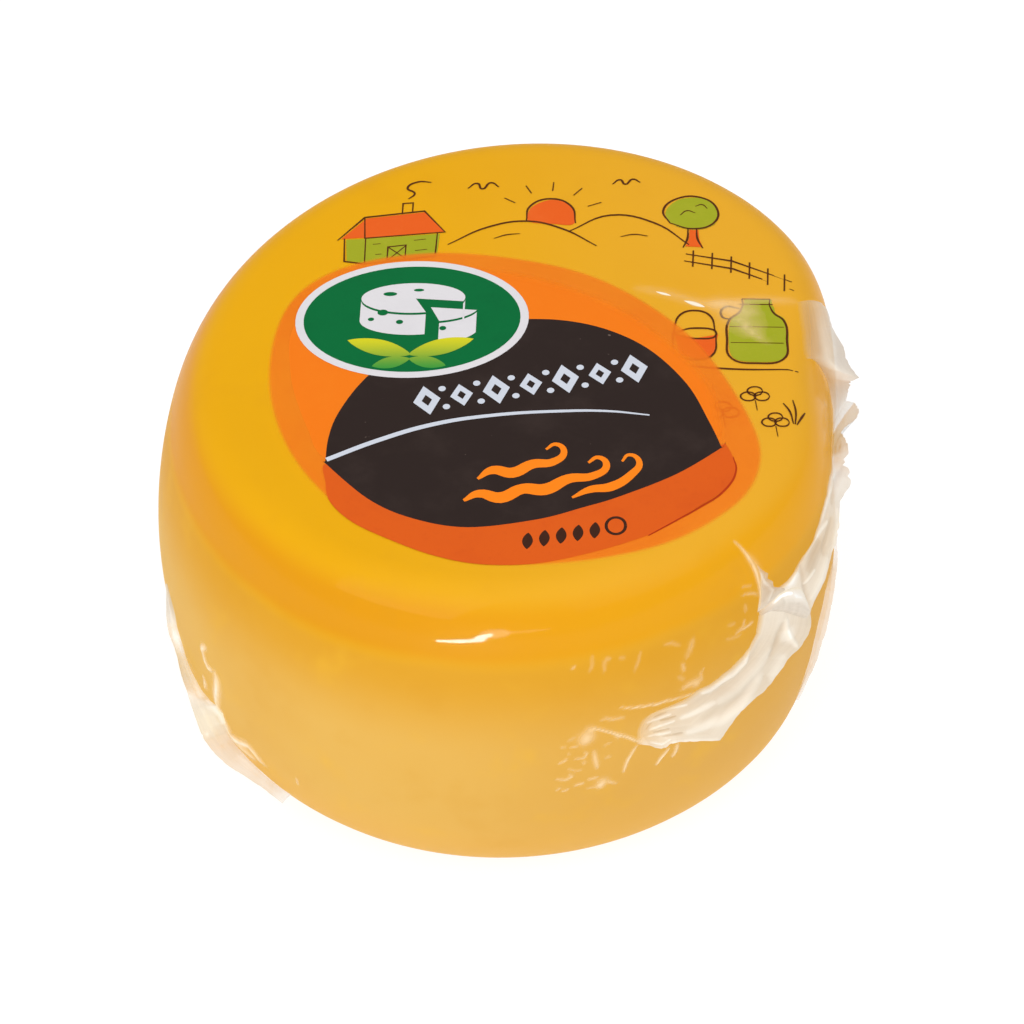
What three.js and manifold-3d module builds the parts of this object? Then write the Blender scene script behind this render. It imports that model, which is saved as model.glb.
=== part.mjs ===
// A small wheel of smoked kashkaval in tight clear film. The wheel is pressed by hand in a round
// mould, so it is a little oval, its top leans and its sides swell. The film is shrunk on to it as
// a bag, and its gathered seam stands out as two thin rippled ears. A printed label lies on top.
// Millimetres, +Z up. The origin is the middle of the flat base, and -Y is the front.

import * as THREE from "three";
import { mergeVertices } from "three/addons/utils/BufferGeometryUtils.js";
import Module from "manifold-3d";

const wasm = await Module();
wasm.setup();
const { degToRad, lerp } = THREE.MathUtils;

// The wheel's section, from the axis outwards.
const sideRadius = 40.4;
const sideHeight = 45.7;
const sideBulge = 1.7;
const topCrown = 0.4;
const topEdgeIn = 6.8;
const topEdgeDown = 9.0;
const footEdgeIn = 5.8;
const footEdgeUp = 6.9;

// How the wheel departs from round and level.
const ovalShare = 0.024;
const ovalNarrowAngle = degToRad(-29);
const flatDepth = 3.8;
const flatAngle = 0;
const flatHalfWidth = degToRad(20);
const topLean = 0.06;

// Facets of the wheel.
const wheelSteps = 80;
const edgeSteps = 6;
const sideSteps = 6;
const topRings = 3;

// The film's ears: each is a sheet that leaves the wheel at its root and ends in a free edge.
const earThickness = 0.45;
const earRootDepth = 0.9;
const earStepAngle = degToRad(2.2);
const earAcross = 4;
const rippleHeight = 0.35;
const ripplesPerTurn = 38;

// Stations along an ear: angle round the wheel in degrees, height of the root, height of the free
// edge, and how far the free edge stands off the wheel. Both ends sink into the wheel.
const rightEar = [
  [-80, 27.6, 25.6, -0.7],
  [-67, 29.0, 24.4, 1.4],
  [-59, 28.9, 22.4, 3.2],
  [-54, 29.8, 24.8, 3.0],
  [-45, 34.4, 26.0, 2.4],
  [-37, 35.8, 28.5, 1.7],
  [-28, 37.8, 33.6, 2.0],
  [-19, 39.0, 36.8, 2.8],
  [-14, 39.6, 37.6, 1.9],
  [-6, 41.2, 39.2, 3.7],
  [-2, 43.2, 39.8, 2.3],
  [3, 44.6, 40.2, 3.6],
  [13, 45.0, 41.2, 1.4],
  [24, 44.0, 43.0, -0.7],
];
const leftEar = [
  [-174, 24.0, 22.6, -0.7],
  [-160, 20.8, 19.2, 1.0],
  [-151, 17.0, 14.4, 1.8],
  [-144, 12.6, 9.4, 2.6],
  [-139, 9.6, 7.0, 3.1],
  [-134, 7.8, 4.8, 2.8],
  [-127, 5.6, 3.6, 2.0],
  [-123.5, 5.4, 4.0, 1.0],
  [-120, 6.6, 5.4, -0.7],
];

// The label: outline on the top, clockwise from the front right, seen from above.
const labelThickness = 0.2;
const labelGap = 0.3;
const labelCentre = [-0.4, -8.6];
const labelSteps = 64;
const labelRings = 5;
const labelOutline = [
  [27.5, -17.6],
  [24.2, -24.6],
  [14.8, -30.9],
  [0.2, -33.1],
  [-13.6, -29.0],
  [-23.4, -19.0],
  [-28.0, -6.6],
  [-27.4, 6.2],
  [-22.0, 13.4],
  [-11.6, 16.4],
  [0.0, 15.2],
  [10.2, 11.2],
  [19.8, 2.3],
  [25.8, -9.2],
];

// Outer section of the wheel, from the foot's inner end up to the top edge's inner end. The side
// is a shallow bow, and the edges leave it in its own direction.
function outerSection() {
  const bowTop = sideHeight - topEdgeDown;
  const bowLength = bowTop - footEdgeUp;
  const endSlope = (4 * sideBulge) / bowLength;
  const roundness = 0.55;
  const foot = new THREE.CubicBezierCurve(
    new THREE.Vector2(sideRadius - footEdgeIn, 0),
    new THREE.Vector2(sideRadius - footEdgeIn * (1 - roundness), 0),
    new THREE.Vector2(sideRadius - endSlope * roundness * footEdgeUp, footEdgeUp * (1 - roundness)),
    new THREE.Vector2(sideRadius, footEdgeUp),
  );
  const shoulder = new THREE.CubicBezierCurve(
    new THREE.Vector2(sideRadius, bowTop),
    new THREE.Vector2(sideRadius - endSlope * roundness * topEdgeDown, bowTop + roundness * topEdgeDown),
    new THREE.Vector2(sideRadius - topEdgeIn * (1 - roundness), sideHeight),
    new THREE.Vector2(sideRadius - topEdgeIn, sideHeight),
  );
  const side = [];
  for (let step = 1; step < sideSteps; step += 1) {
    const share = step / sideSteps;
    side.push(new THREE.Vector2(sideRadius + sideBulge * 4 * share * (1 - share), footEdgeUp + bowLength * share));
  }
  return [...foot.getPoints(edgeSteps), ...side, ...shoulder.getPoints(edgeSteps)];
}

const section = outerSection();
const topRadius = sideRadius - topEdgeIn;

// Height of the crowned top inside the edge's rounding.
function crownHeight(radius) {
  return sideHeight + topCrown * (1 - (radius / topRadius) ** 2);
}

// Radius of the section at a height, anywhere above the foot.
function radiusAtHeight(height) {
  const next = section.findIndex((point) => point.y >= height);
  const [low, high] = [section[Math.max(next - 1, 0)], section[Math.max(next, 1)]];
  return lerp(low.x, high.x, (height - low.y) / (high.y - low.y));
}

// Height of the section's top side at a radius.
function heightAtRadius(radius) {
  if (radius <= topRadius) {
    return crownHeight(radius);
  }
  const last = section.length - 1;
  let outer = last - 1;
  while (section[outer].x < radius) {
    outer -= 1;
  }
  const [near, far] = [section[outer + 1], section[outer]];
  return lerp(near.y, far.y, (radius - near.x) / (far.x - near.x));
}

// Share by which the plan is larger or smaller than round at an angle.
function planFactor(angle) {
  const offFlat = Math.atan2(Math.sin(angle - flatAngle), Math.cos(angle - flatAngle));
  const oval = ovalShare * Math.cos(2 * (angle - ovalNarrowAngle));
  const flat = (flatDepth / sideRadius) * Math.exp(-((offFlat / flatHalfWidth) ** 2));
  return 1 - oval - flat;
}

// A point given by angle, radius and height on the round section, moved on to the real wheel.
function onWheel(angle, radius, height) {
  const reach = radius * planFactor(angle);
  const x = reach * Math.cos(angle);
  const y = reach * Math.sin(angle);
  return new THREE.Vector3(x, y, height * (1 + (topLean * x) / sideHeight));
}

// Vertices and triangles as a closed solid, without the triangles that the poles collapse.
function toSolid(geometry) {
  geometry.deleteAttribute("normal");
  geometry.deleteAttribute("uv");
  const merged = mergeVertices(geometry, 1e-4);
  const corners = merged.index.array;
  const kept = [];
  for (let corner = 0; corner < corners.length; corner += 3) {
    const [a, b, c] = corners.slice(corner, corner + 3);
    if (a !== b && b !== c && c !== a) {
      kept.push(a, b, c);
    }
  }
  const vertProperties = new Float32Array(merged.attributes.position.array);
  const mesh = new wasm.Mesh({ numProp: 3, vertProperties, triVerts: new Uint32Array(kept) });
  return new wasm.Manifold(mesh);
}

function toGeometry(solid) {
  const mesh = solid.getMesh();
  const geometry = new THREE.BufferGeometry();
  geometry.setAttribute("position", new THREE.BufferAttribute(new Float32Array(mesh.vertProperties), 3));
  geometry.setIndex(new THREE.BufferAttribute(new Uint32Array(mesh.triVerts), 1));
  geometry.computeVertexNormals();
  return geometry;
}

// The wheel: the section turned about Z, then moved on to the real plan and lean.
function wheelSolid() {
  const profile = [new THREE.Vector2(0, 0), ...section];
  for (let ring = topRings - 1; ring >= 0; ring -= 1) {
    const radius = (topRadius * ring) / topRings;
    profile.push(new THREE.Vector2(radius, crownHeight(radius)));
  }
  const geometry = new THREE.LatheGeometry(profile, wheelSteps);
  geometry.rotateX(Math.PI / 2);
  const position = geometry.attributes.position;
  for (let index = 0; index < position.count; index += 1) {
    const [x, y, z] = [position.getX(index), position.getY(index), position.getZ(index)];
    const point = onWheel(Math.atan2(y, x), Math.hypot(x, y), z);
    position.setXYZ(index, point.x, point.y, point.z);
  }
  return toSolid(geometry);
}

// A closed body between two grids of points that share their number of rows and columns. With
// closedRows each row joins its own ends, and the first column may be a single point repeated.
function slabGeometry(upper, lower, closedRows) {
  const [rows, columns] = [upper.length, upper[0].length];
  const points = [...upper.flat(), ...lower.flat()];
  const at = (layer, row, column) => layer * rows * columns + (row % rows) * columns + column;
  const faces = [];
  const quad = (a, b, c, d) => faces.push(a, b, c, a, c, d);
  const rowSpans = closedRows ? rows : rows - 1;
  for (let row = 0; row < rowSpans; row += 1) {
    for (let column = 0; column < columns - 1; column += 1) {
      quad(at(0, row, column), at(0, row, column + 1), at(0, row + 1, column + 1), at(0, row + 1, column));
      quad(at(1, row, column), at(1, row + 1, column), at(1, row + 1, column + 1), at(1, row, column + 1));
    }
    const rim = columns - 1;
    quad(at(0, row, rim), at(1, row, rim), at(1, row + 1, rim), at(0, row + 1, rim));
    if (!closedRows) {
      quad(at(0, row, 0), at(0, row + 1, 0), at(1, row + 1, 0), at(1, row, 0));
    }
  }
  if (!closedRows) {
    for (let column = 0; column < columns - 1; column += 1) {
      quad(at(0, 0, column), at(1, 0, column), at(1, 0, column + 1), at(0, 0, column + 1));
      const end = rows - 1;
      quad(at(0, end, column), at(0, end, column + 1), at(1, end, column + 1), at(1, end, column));
    }
  }
  const geometry = new THREE.BufferGeometry().setFromPoints(points);
  geometry.setIndex(faces);
  return geometry;
}

// One ear: the stations are joined by smooth curves, and ripples grow towards the free edge.
function earSolid(stations) {
  const stationCurve = new THREE.CatmullRomCurve3(
    stations.map(([angle, root, free]) => new THREE.Vector3(angle, root, free)), false, "centripetal");
  const standOffCurve = new THREE.CatmullRomCurve3(
    stations.map(([angle, , , standOff]) => new THREE.Vector3(angle, standOff, 0)), false, "centripetal");
  const steps = Math.round(degToRad(stations.at(-1)[0] - stations[0][0]) / earStepAngle);
  const middle = [];
  for (let step = 0; step <= steps; step += 1) {
    const place = stationCurve.getPoint(step / steps);
    const standOff = standOffCurve.getPoint(step / steps).y;
    const row = [];
    for (let column = 0; column <= earAcross + 1; column += 1) {
      const across = Math.max(column - 1, 0) / earAcross;
      const phase = ripplesPerTurn * degToRad(place.x) + 2.2 * across;
      const ripple = rippleHeight * across * Math.sin(phase);
      const height = lerp(place.y, place.z, across) + ripple;
      const lift = column === 0 ? -earRootDepth : standOff * across ** 0.8 + 0.5 * ripple;
      row.push(onWheel(degToRad(place.x), radiusAtHeight(height) + lift, height));
    }
    middle.push(row);
  }
  const offset = (side) => middle.map((row, r) => row.map((point, c) => {
    const along = middle[Math.min(r + 1, steps)][c].clone().sub(middle[Math.max(r - 1, 0)][c]);
    const across = row[Math.min(c + 1, earAcross + 1)].clone().sub(row[Math.max(c - 1, 0)]);
    const normal = along.cross(across).normalize().multiplyScalar(side * 0.5 * earThickness);
    return point.clone().add(normal);
  }));
  return toSolid(slabGeometry(offset(-1), offset(1), false));
}

// The label's outline runs through its points, and rings shrink it to the centre.
function labelGeometry() {
  const [centreX, centreY] = labelCentre;
  const outline = new THREE.CatmullRomCurve3(
    labelOutline.map(([x, y]) => new THREE.Vector3(x, y, 0)), true, "centripetal");
  const rim = outline.getPoints(labelSteps).slice(0, labelSteps);
  const layer = (lift) => rim.map((point) => {
    const row = [];
    for (let ring = 0; ring <= labelRings; ring += 1) {
      const x = lerp(centreX, point.x, ring / labelRings);
      const y = lerp(centreY, point.y, ring / labelRings);
      const angle = Math.atan2(y, x);
      const radius = Math.hypot(x, y) / planFactor(angle);
      const below = heightAtRadius(radius) * (1 + (topLean * x) / sideHeight);
      row.push(new THREE.Vector3(x, y, below + lift));
    }
    return row;
  });
  return slabGeometry(layer(labelGap), layer(labelGap + labelThickness), true);
}

const wrappedCheese = new THREE.Mesh(
  toGeometry(wheelSolid().add(earSolid(rightEar)).add(earSolid(leftEar))),
  new THREE.MeshStandardMaterial({ color: 0xe9b04c, roughness: 0.3, metalness: 0 }),
);
wrappedCheese.name = "wrapped_cheese";

const label = new THREE.Mesh(
  toGeometry(toSolid(labelGeometry())),
  new THREE.MeshStandardMaterial({ color: 0xf0801f, roughness: 0.3, metalness: 0 }),
);
label.name = "label";

const smokedKashkaval = new THREE.Group();
smokedKashkaval.add(wrappedCheese, label);

export default smokedKashkaval;
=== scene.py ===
"""Smoked kashkaval: a small wheel of cheese in clear film with a printed top."""

import math

import bpy
import numpy as np
from mathutils import Matrix, Vector


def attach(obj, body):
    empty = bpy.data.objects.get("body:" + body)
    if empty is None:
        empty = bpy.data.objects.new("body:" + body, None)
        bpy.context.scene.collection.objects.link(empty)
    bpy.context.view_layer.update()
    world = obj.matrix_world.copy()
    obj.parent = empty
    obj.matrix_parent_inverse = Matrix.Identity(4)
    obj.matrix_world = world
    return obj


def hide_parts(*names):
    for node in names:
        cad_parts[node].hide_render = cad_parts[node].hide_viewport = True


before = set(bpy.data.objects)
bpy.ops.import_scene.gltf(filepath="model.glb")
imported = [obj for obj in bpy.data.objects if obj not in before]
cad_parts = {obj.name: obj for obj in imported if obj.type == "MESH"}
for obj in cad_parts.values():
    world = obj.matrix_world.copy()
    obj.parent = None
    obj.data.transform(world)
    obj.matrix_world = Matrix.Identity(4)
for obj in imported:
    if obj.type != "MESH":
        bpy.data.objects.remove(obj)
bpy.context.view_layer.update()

# --- The stage ------------------------------------------------------------------------------
# The wheel stands on a plain white table under wide soft lights. The camera looks down on it
# from the front, as the photographer did, and four low, narrow lights draw the rim's streak.
camera_height_angle = math.radians(46.991)
camera_roll = math.radians(2.175)
camera_aim = Vector((0.000116, -0.003743, 0.02285))
camera_distance = 0.408
camera_lens = 121.77

towards_camera = Vector((0, -math.cos(camera_height_angle), math.sin(camera_height_angle)))
plain_up = Vector((0, math.sin(camera_height_angle), math.cos(camera_height_angle)))
plain_right = Vector((1, 0, 0))
camera_right = plain_right * math.cos(camera_roll) + plain_up * math.sin(camera_roll)
camera_up = plain_up * math.cos(camera_roll) - plain_right * math.sin(camera_roll)
camera_turn = Matrix((camera_right, camera_up, towards_camera)).transposed()
bpy.ops.object.camera_add(
    location=camera_aim + towards_camera * camera_distance, rotation=camera_turn.to_euler())
camera = bpy.context.active_object
camera.data.lens = camera_lens
camera.data.clip_start = 0.01
bpy.context.scene.camera = camera
bpy.context.scene.view_settings.view_transform = "Standard"


def add_light(name, angle, height_angle, distance, width, depth, watts):
    """An area light that looks at the wheel from an angle round it and above the table."""
    angle, height_angle = math.radians(angle), math.radians(height_angle)
    away = Vector((math.cos(angle) * math.cos(height_angle),
                   math.sin(angle) * math.cos(height_angle), math.sin(height_angle)))
    bpy.ops.object.light_add(
        type="AREA", location=Vector((0, 0, 0.025)) + away * distance,
        rotation=away.to_track_quat("Z", "Y").to_euler())
    light = bpy.context.active_object
    light.name = name
    light.data.shape = "RECTANGLE"
    light.data.size, light.data.size_y = width, depth
    light.data.energy = watts
    return light


soft_distance, rim_distance = 0.9, 0.25
soft_lights = [
    # name, angle, height angle, size and watts
    ("soft_top", -90, 78, 0.9, 2.6),
    ("soft_front_left", -125, 38, 0.6, 2.0),
    ("soft_front_right", -50, 38, 0.6, 0.75),
]
for name, angle, height_angle, size, watts in soft_lights:
    add_light(name, angle, height_angle, soft_distance, size, size, watts)
rim_lights = [
    # name, angle, height angle, width, depth, tilt and watts
    ("rim_strip", -100.5, 0.9, 0.062, 0.010, 14, 0.115),
    ("rim_tip", -95.2, 4.8, 0.030, 0.013, 50, 0.075),
    ("rim_glint", -92.0, 8.0, 0.035, 0.034, 0, 0.026),
    ("rim_tail", -84.0, 8.6, 0.060, 0.010, 0, 0.005),
]
for name, angle, height_angle, width, depth, tilt, watts in rim_lights:
    strip = add_light(name, angle, height_angle, rim_distance, width, depth, watts)
    strip.rotation_euler.rotate_axis("Z", math.radians(tilt))
    strip.data.shape = "ELLIPSE"
    strip.visible_diffuse = strip.visible_camera = False

room_light = 0.62
world = bpy.data.worlds.new("studio")
bpy.context.scene.world = world
world.use_nodes = True
background = world.node_tree.nodes["Background"]
background.inputs["Color"].default_value = (1, 1, 1, 1)
background.inputs["Strength"].default_value = room_light


class Paint:
    """A socket of a material. An expression on paints adds its Math nodes."""

    def __init__(self, tree, socket=None):
        self.tree, self.socket = tree, socket

    def node(self, kind, settings, sockets, output=0):
        """A new node of a kind, with its settings and sockets, as the paint of one output."""
        made = self.tree.nodes.new(kind)
        for name, value in settings.items():
            setattr(made, name, value)
        for name, value in sockets.items():
            if isinstance(value, Paint):
                self.tree.links.new(value.socket, made.inputs[name])
            else:
                made.inputs[name].default_value = value
        return Paint(self.tree, made.outputs[output])

    def maths(self, operation, *values):
        return self.node("ShaderNodeMath", {"operation": operation}, dict(enumerate(values)))

    def __add__(self, other): return self.maths("ADD", self, other)
    def __sub__(self, other): return self.maths("SUBTRACT", self, other)
    def __mul__(self, other): return self.maths("MULTIPLY", self, other)
    def __truediv__(self, other): return self.maths("DIVIDE", self, other)
    def __pow__(self, other): return self.maths("POWER", self, other)
    def __rsub__(self, other): return self.maths("SUBTRACT", other, self)
    __radd__, __rmul__ = __add__, __mul__

    def rise(self, low, high):
        """0 below low, 1 above high, and smooth between them."""
        return self.node("ShaderNodeMapRange", {"interpolation_type": "SMOOTHSTEP"},
                         {"Value": self, "From Min": low, "From Max": high})

    def band(self, low, high, soft):
        """1 between low and high, and 0 outside, with soft ends."""
        return self.rise(low - soft, low + soft) * (1 - self.rise(high - soft, high + soft))

    def noise(self, place, scale, detail=2.0, roughness=0.5):
        return self.node("ShaderNodeTexNoise", {},
                         {"Vector": place, "Scale": scale, "Detail": detail, "Roughness": roughness})

    def axis(self, place, name):
        """One coordinate of a place: "X", "Y" or "Z"."""
        return self.node("ShaderNodeSeparateXYZ", {}, {"Vector": place}, name)

    def read(self, name):
        """A value that the mesh stores at its points."""
        return self.node("ShaderNodeAttribute", {"attribute_name": name}, {}, "Fac")

    def mix(self, share, first, second):
        """A colour between two colours."""
        return self.node("ShaderNodeMix", {"data_type": "RGBA"}, {0: share, 6: first, 7: second}, 2)

    def bump(self, height, strength, distance):
        return self.node("ShaderNodeBump", {}, {
            "Height": height, "Strength": strength, "Distance": distance})


def colour(red, green, blue):
    """A colour from the 0 to 255 numbers that a screen shows."""
    def linear(value):
        value /= 255
        return value / 12.92 if value <= 0.04045 else ((value + 0.055) / 1.055) ** 2.4
    return (linear(red), linear(green), linear(blue), 1.0)


def new_material(name):
    """An empty material: its paint, its place in the object and its main shader."""
    material = bpy.data.materials.new(name)
    material.use_nodes = True
    tree = material.node_tree
    paint = Paint(tree)
    place = paint.node("ShaderNodeTexCoord", {}, {}, "Object")
    return material, paint, place, tree.nodes["Principled BSDF"]


def feed(paint, shader, sockets):
    """Sets a shader's sockets, from paints or from plain values."""
    for name, value in sockets.items():
        if isinstance(value, Paint):
            paint.tree.links.new(value.socket, shader.inputs[name])
        else:
            shader.inputs[name].default_value = value


bpy.ops.object.select_all(action="DESELECT")
bpy.ops.mesh.primitive_plane_add(size=3.0, location=(0, 0, 0))
floor = bpy.context.active_object
floor.name = "floor"
bpy.ops.object.mode_set(mode="EDIT")
bpy.ops.mesh.subdivide(number_cuts=3)
bpy.ops.object.mode_set(mode="OBJECT")
floor_material, paint, place, shader = new_material("white_table")
feed(paint, shader, {
    "Base Color": paint.mix(paint.noise(place, 6), colour(134, 134, 134), colour(140, 140, 140)),
    "Roughness": 0.8,
    "Specular IOR Level": 0.0,
    "Emission Color": (1, 1, 1, 1),
    "Emission Strength": 0.84,
})
floor.data.materials.append(floor_material)

# --- The cheese -----------------------------------------------------------------------------
# The wheel is pressed by hand in a round mould and smoked, so it is a little oval, its top leans, its
# side swells and its rind is golden, deepest on the rounded rim. Lower down it is painted paler and
# bluer, partly its own tone and partly painted reflection of the white table, and its colour is painted
# to shift from left to right where the lamps light it unevenly.
side_radius, side_height, side_bulge = 0.0404, 0.0457, 0.0017
top_crown, top_edge_in, top_edge_down = 0.0004, 0.0068, 0.0090
foot_edge_in, foot_edge_up = 0.0058, 0.0069
oval_share, oval_narrow_angle = 0.024, math.radians(-29)
flat_depth, flat_half_width = 0.0038, math.radians(20)
top_lean = 0.06
wheel_steps = 240
top_radius = side_radius - top_edge_in


def edge_curve(corners, steps):
    """Points of one rounded edge, from its four corner points."""
    (ax, ay), (bx, by), (cx, cy), (dx, dy) = corners
    points = []
    for step in range(steps + 1):
        t = step / steps
        w = ((1 - t) ** 3, 3 * t * (1 - t) ** 2, 3 * t * t * (1 - t), t ** 3)
        points.append((w[0] * ax + w[1] * bx + w[2] * cx + w[3] * dx,
                       w[0] * ay + w[1] * by + w[2] * cy + w[3] * dy))
    return points


def wheel_section(foot_rings, foot_steps, side_steps, top_steps, top_rings):
    """The wheel's half section as radius and height, from the foot's centre to the top's."""
    bow_top = side_height - top_edge_down
    bow = bow_top - foot_edge_up
    lean, k = 4 * side_bulge / bow, 0.55
    r, h = side_radius, side_height
    foot = edge_curve(((r - foot_edge_in, 0), (r - foot_edge_in * (1 - k), 0),
                       (r - lean * k * foot_edge_up, foot_edge_up * (1 - k)),
                       (r, foot_edge_up)), foot_steps)
    top = edge_curve(((r, bow_top), (r - lean * k * top_edge_down, bow_top + k * top_edge_down),
                      (r - top_edge_in * (1 - k), h), (r - top_edge_in, h)), top_steps)
    side = [(r + side_bulge * 4 * s * (1 - s), foot_edge_up + bow * s)
            for s in (step / side_steps for step in range(1, side_steps))]
    below = [((r - foot_edge_in) * ring / foot_rings, 0) for ring in range(foot_rings)]
    above = [(top_radius * ring / top_rings, h + top_crown * (1 - (ring / top_rings) ** 2))
             for ring in range(top_rings - 1, -1, -1)]
    return np.array(below + foot + side + top + above)


def plan_factor(angle):
    """How far the plan is from round at an angle."""
    off_flat = np.arctan2(np.sin(angle), np.cos(angle))
    return (1 - oval_share * np.cos(2 * (angle - oval_narrow_angle))
            - flat_depth / side_radius * np.exp(-(off_flat / flat_half_width) ** 2))


def on_wheel(angle, radius, height):
    """Points of the round section moved on to the real wheel, one row each."""
    reach = radius * plan_factor(angle)
    x, y = reach * np.cos(angle), reach * np.sin(angle)
    return np.stack([x, y, height * (1 + top_lean * x / side_height)], -1)


def get_points(mesh):
    points = np.empty(len(mesh.vertices) * 3)
    mesh.vertices.foreach_get("co", points)
    return points.reshape(-1, 3)


def set_points(mesh, points):
    mesh.vertices.foreach_set("co", np.ascontiguousarray(points, dtype=float).ravel())
    mesh.update()


bpy.ops.object.select_all(action="DESELECT")
bpy.ops.mesh.primitive_circle_add(
    vertices=wheel_steps, radius=side_radius - foot_edge_in, fill_type="NGON")
cheese = bpy.context.active_object
cheese.name = "cheese"
rings = wheel_section(1, 8, 26, 14, 12)[1:]
bpy.ops.object.mode_set(mode="EDIT")
bpy.ops.mesh.select_all(action="SELECT")
radius, height = rings[0]
for next_radius, next_height in rings[1:-1]:
    bpy.ops.mesh.extrude_region_move(TRANSFORM_OT_translate={"value": (0, 0, next_height - height)})
    share = next_radius / radius
    bpy.ops.transform.resize(value=(share, share, 1))
    radius, height = next_radius, next_height
bpy.ops.mesh.extrude_region_move(TRANSFORM_OT_translate={"value": (0, 0, rings[-1][1] - height)})
bpy.ops.mesh.merge(type="CENTER")
bpy.ops.mesh.select_all(action="SELECT")
bpy.ops.mesh.normals_make_consistent(inside=False)
bpy.ops.object.mode_set(mode="OBJECT")
points = get_points(cheese.data)
angles, radii = np.arctan2(points[:, 1], points[:, 0]), np.hypot(points[:, 0], points[:, 1])
set_points(cheese.data, on_wheel(angles, radii, points[:, 2]))
bpy.ops.object.shade_smooth()

rind, paint, place, shader = new_material("smoked_rind")
x, z = paint.axis(place, "X"), paint.axis(place, "Z")
level = z / (x * (top_lean / side_height) + 1)
cloud, fine = paint.noise(place, 60, 3), paint.noise(place, 420, 3)
wavy_level = level + (cloud - 0.5) * 0.0012
side_mask = 1 - wavy_level.rise(0.0364, 0.0390)
low_mask = 1 - level.rise(0.0240, 0.0370)
foot_mask = 1 - level.rise(0.0020, 0.0150)
rim_mask = wavy_level.band(0.0380, 0.0440, 0.0012)
# painted light: the rind's colours shift from the left to the right of the wheel, as the lamps light it
# unevenly
painted_light_across = x.rise(-0.020, 0.026)
rim_tone = paint.mix(painted_light_across, colour(224, 150, 0), colour(232, 163, 0))
top_tone = paint.mix(painted_light_across, colour(232, 169, 12), colour(230, 168, 42))
tone = paint.mix(rim_mask * 0.95, top_tone, rim_tone)
tone = paint.mix(side_mask, tone, colour(223, 161, 40))
# painted reflection: the low side and the foot are paler and bluer, partly the rind's own tone and
# partly painted reflection of the white table
low_tone_and_reflection = paint.mix(painted_light_across, colour(229, 180, 86), colour(225, 171, 76))
tone = paint.mix(low_mask, tone, low_tone_and_reflection)
tone = paint.mix(foot_mask, tone, colour(233, 179, 82))
tone = paint.mix(cloud.rise(0.45, 0.75) * 0.12, tone, colour(214, 146, 10))
mottle = paint.noise(place, 130, 4, 0.6)
tone = paint.mix(mottle.rise(0.52, 0.78) * side_mask * 0.35, tone, colour(240, 186, 52))
tone = paint.mix((1 - mottle.rise(0.25, 0.46)) * 0.14, tone, colour(212, 146, 28))
feed(paint, shader, {
    "Base Color": tone,
    "Roughness": 0.44 + cloud * 0.12,
    "Specular IOR Level": 0.04,
    "Coat Weight": level.band(0.0385, 0.0440, 0.0015) * 0.20 + 0.03,
    "Coat Roughness": 0.05,
    "Normal": paint.bump(fine, 0.10, 0.0002),
})
cheese.data.materials.append(rind)
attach(cheese, "root")
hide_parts("wrapped_cheese")

# --- The film ------------------------------------------------------------------------------
# Clear shrink film lies tight on the cheese all round. It shows where it creases: in pull lines and
# small bubbles beside the gathered seam, in a folded spot at the left and along its lap on the top. A
# broad pale glow beside the lap is painted reflection, and two short white glints on the top are
# painted highlights.
film_gap, crease_height, lap_height = 0.00004, 0.00022, 0.00008
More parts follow.
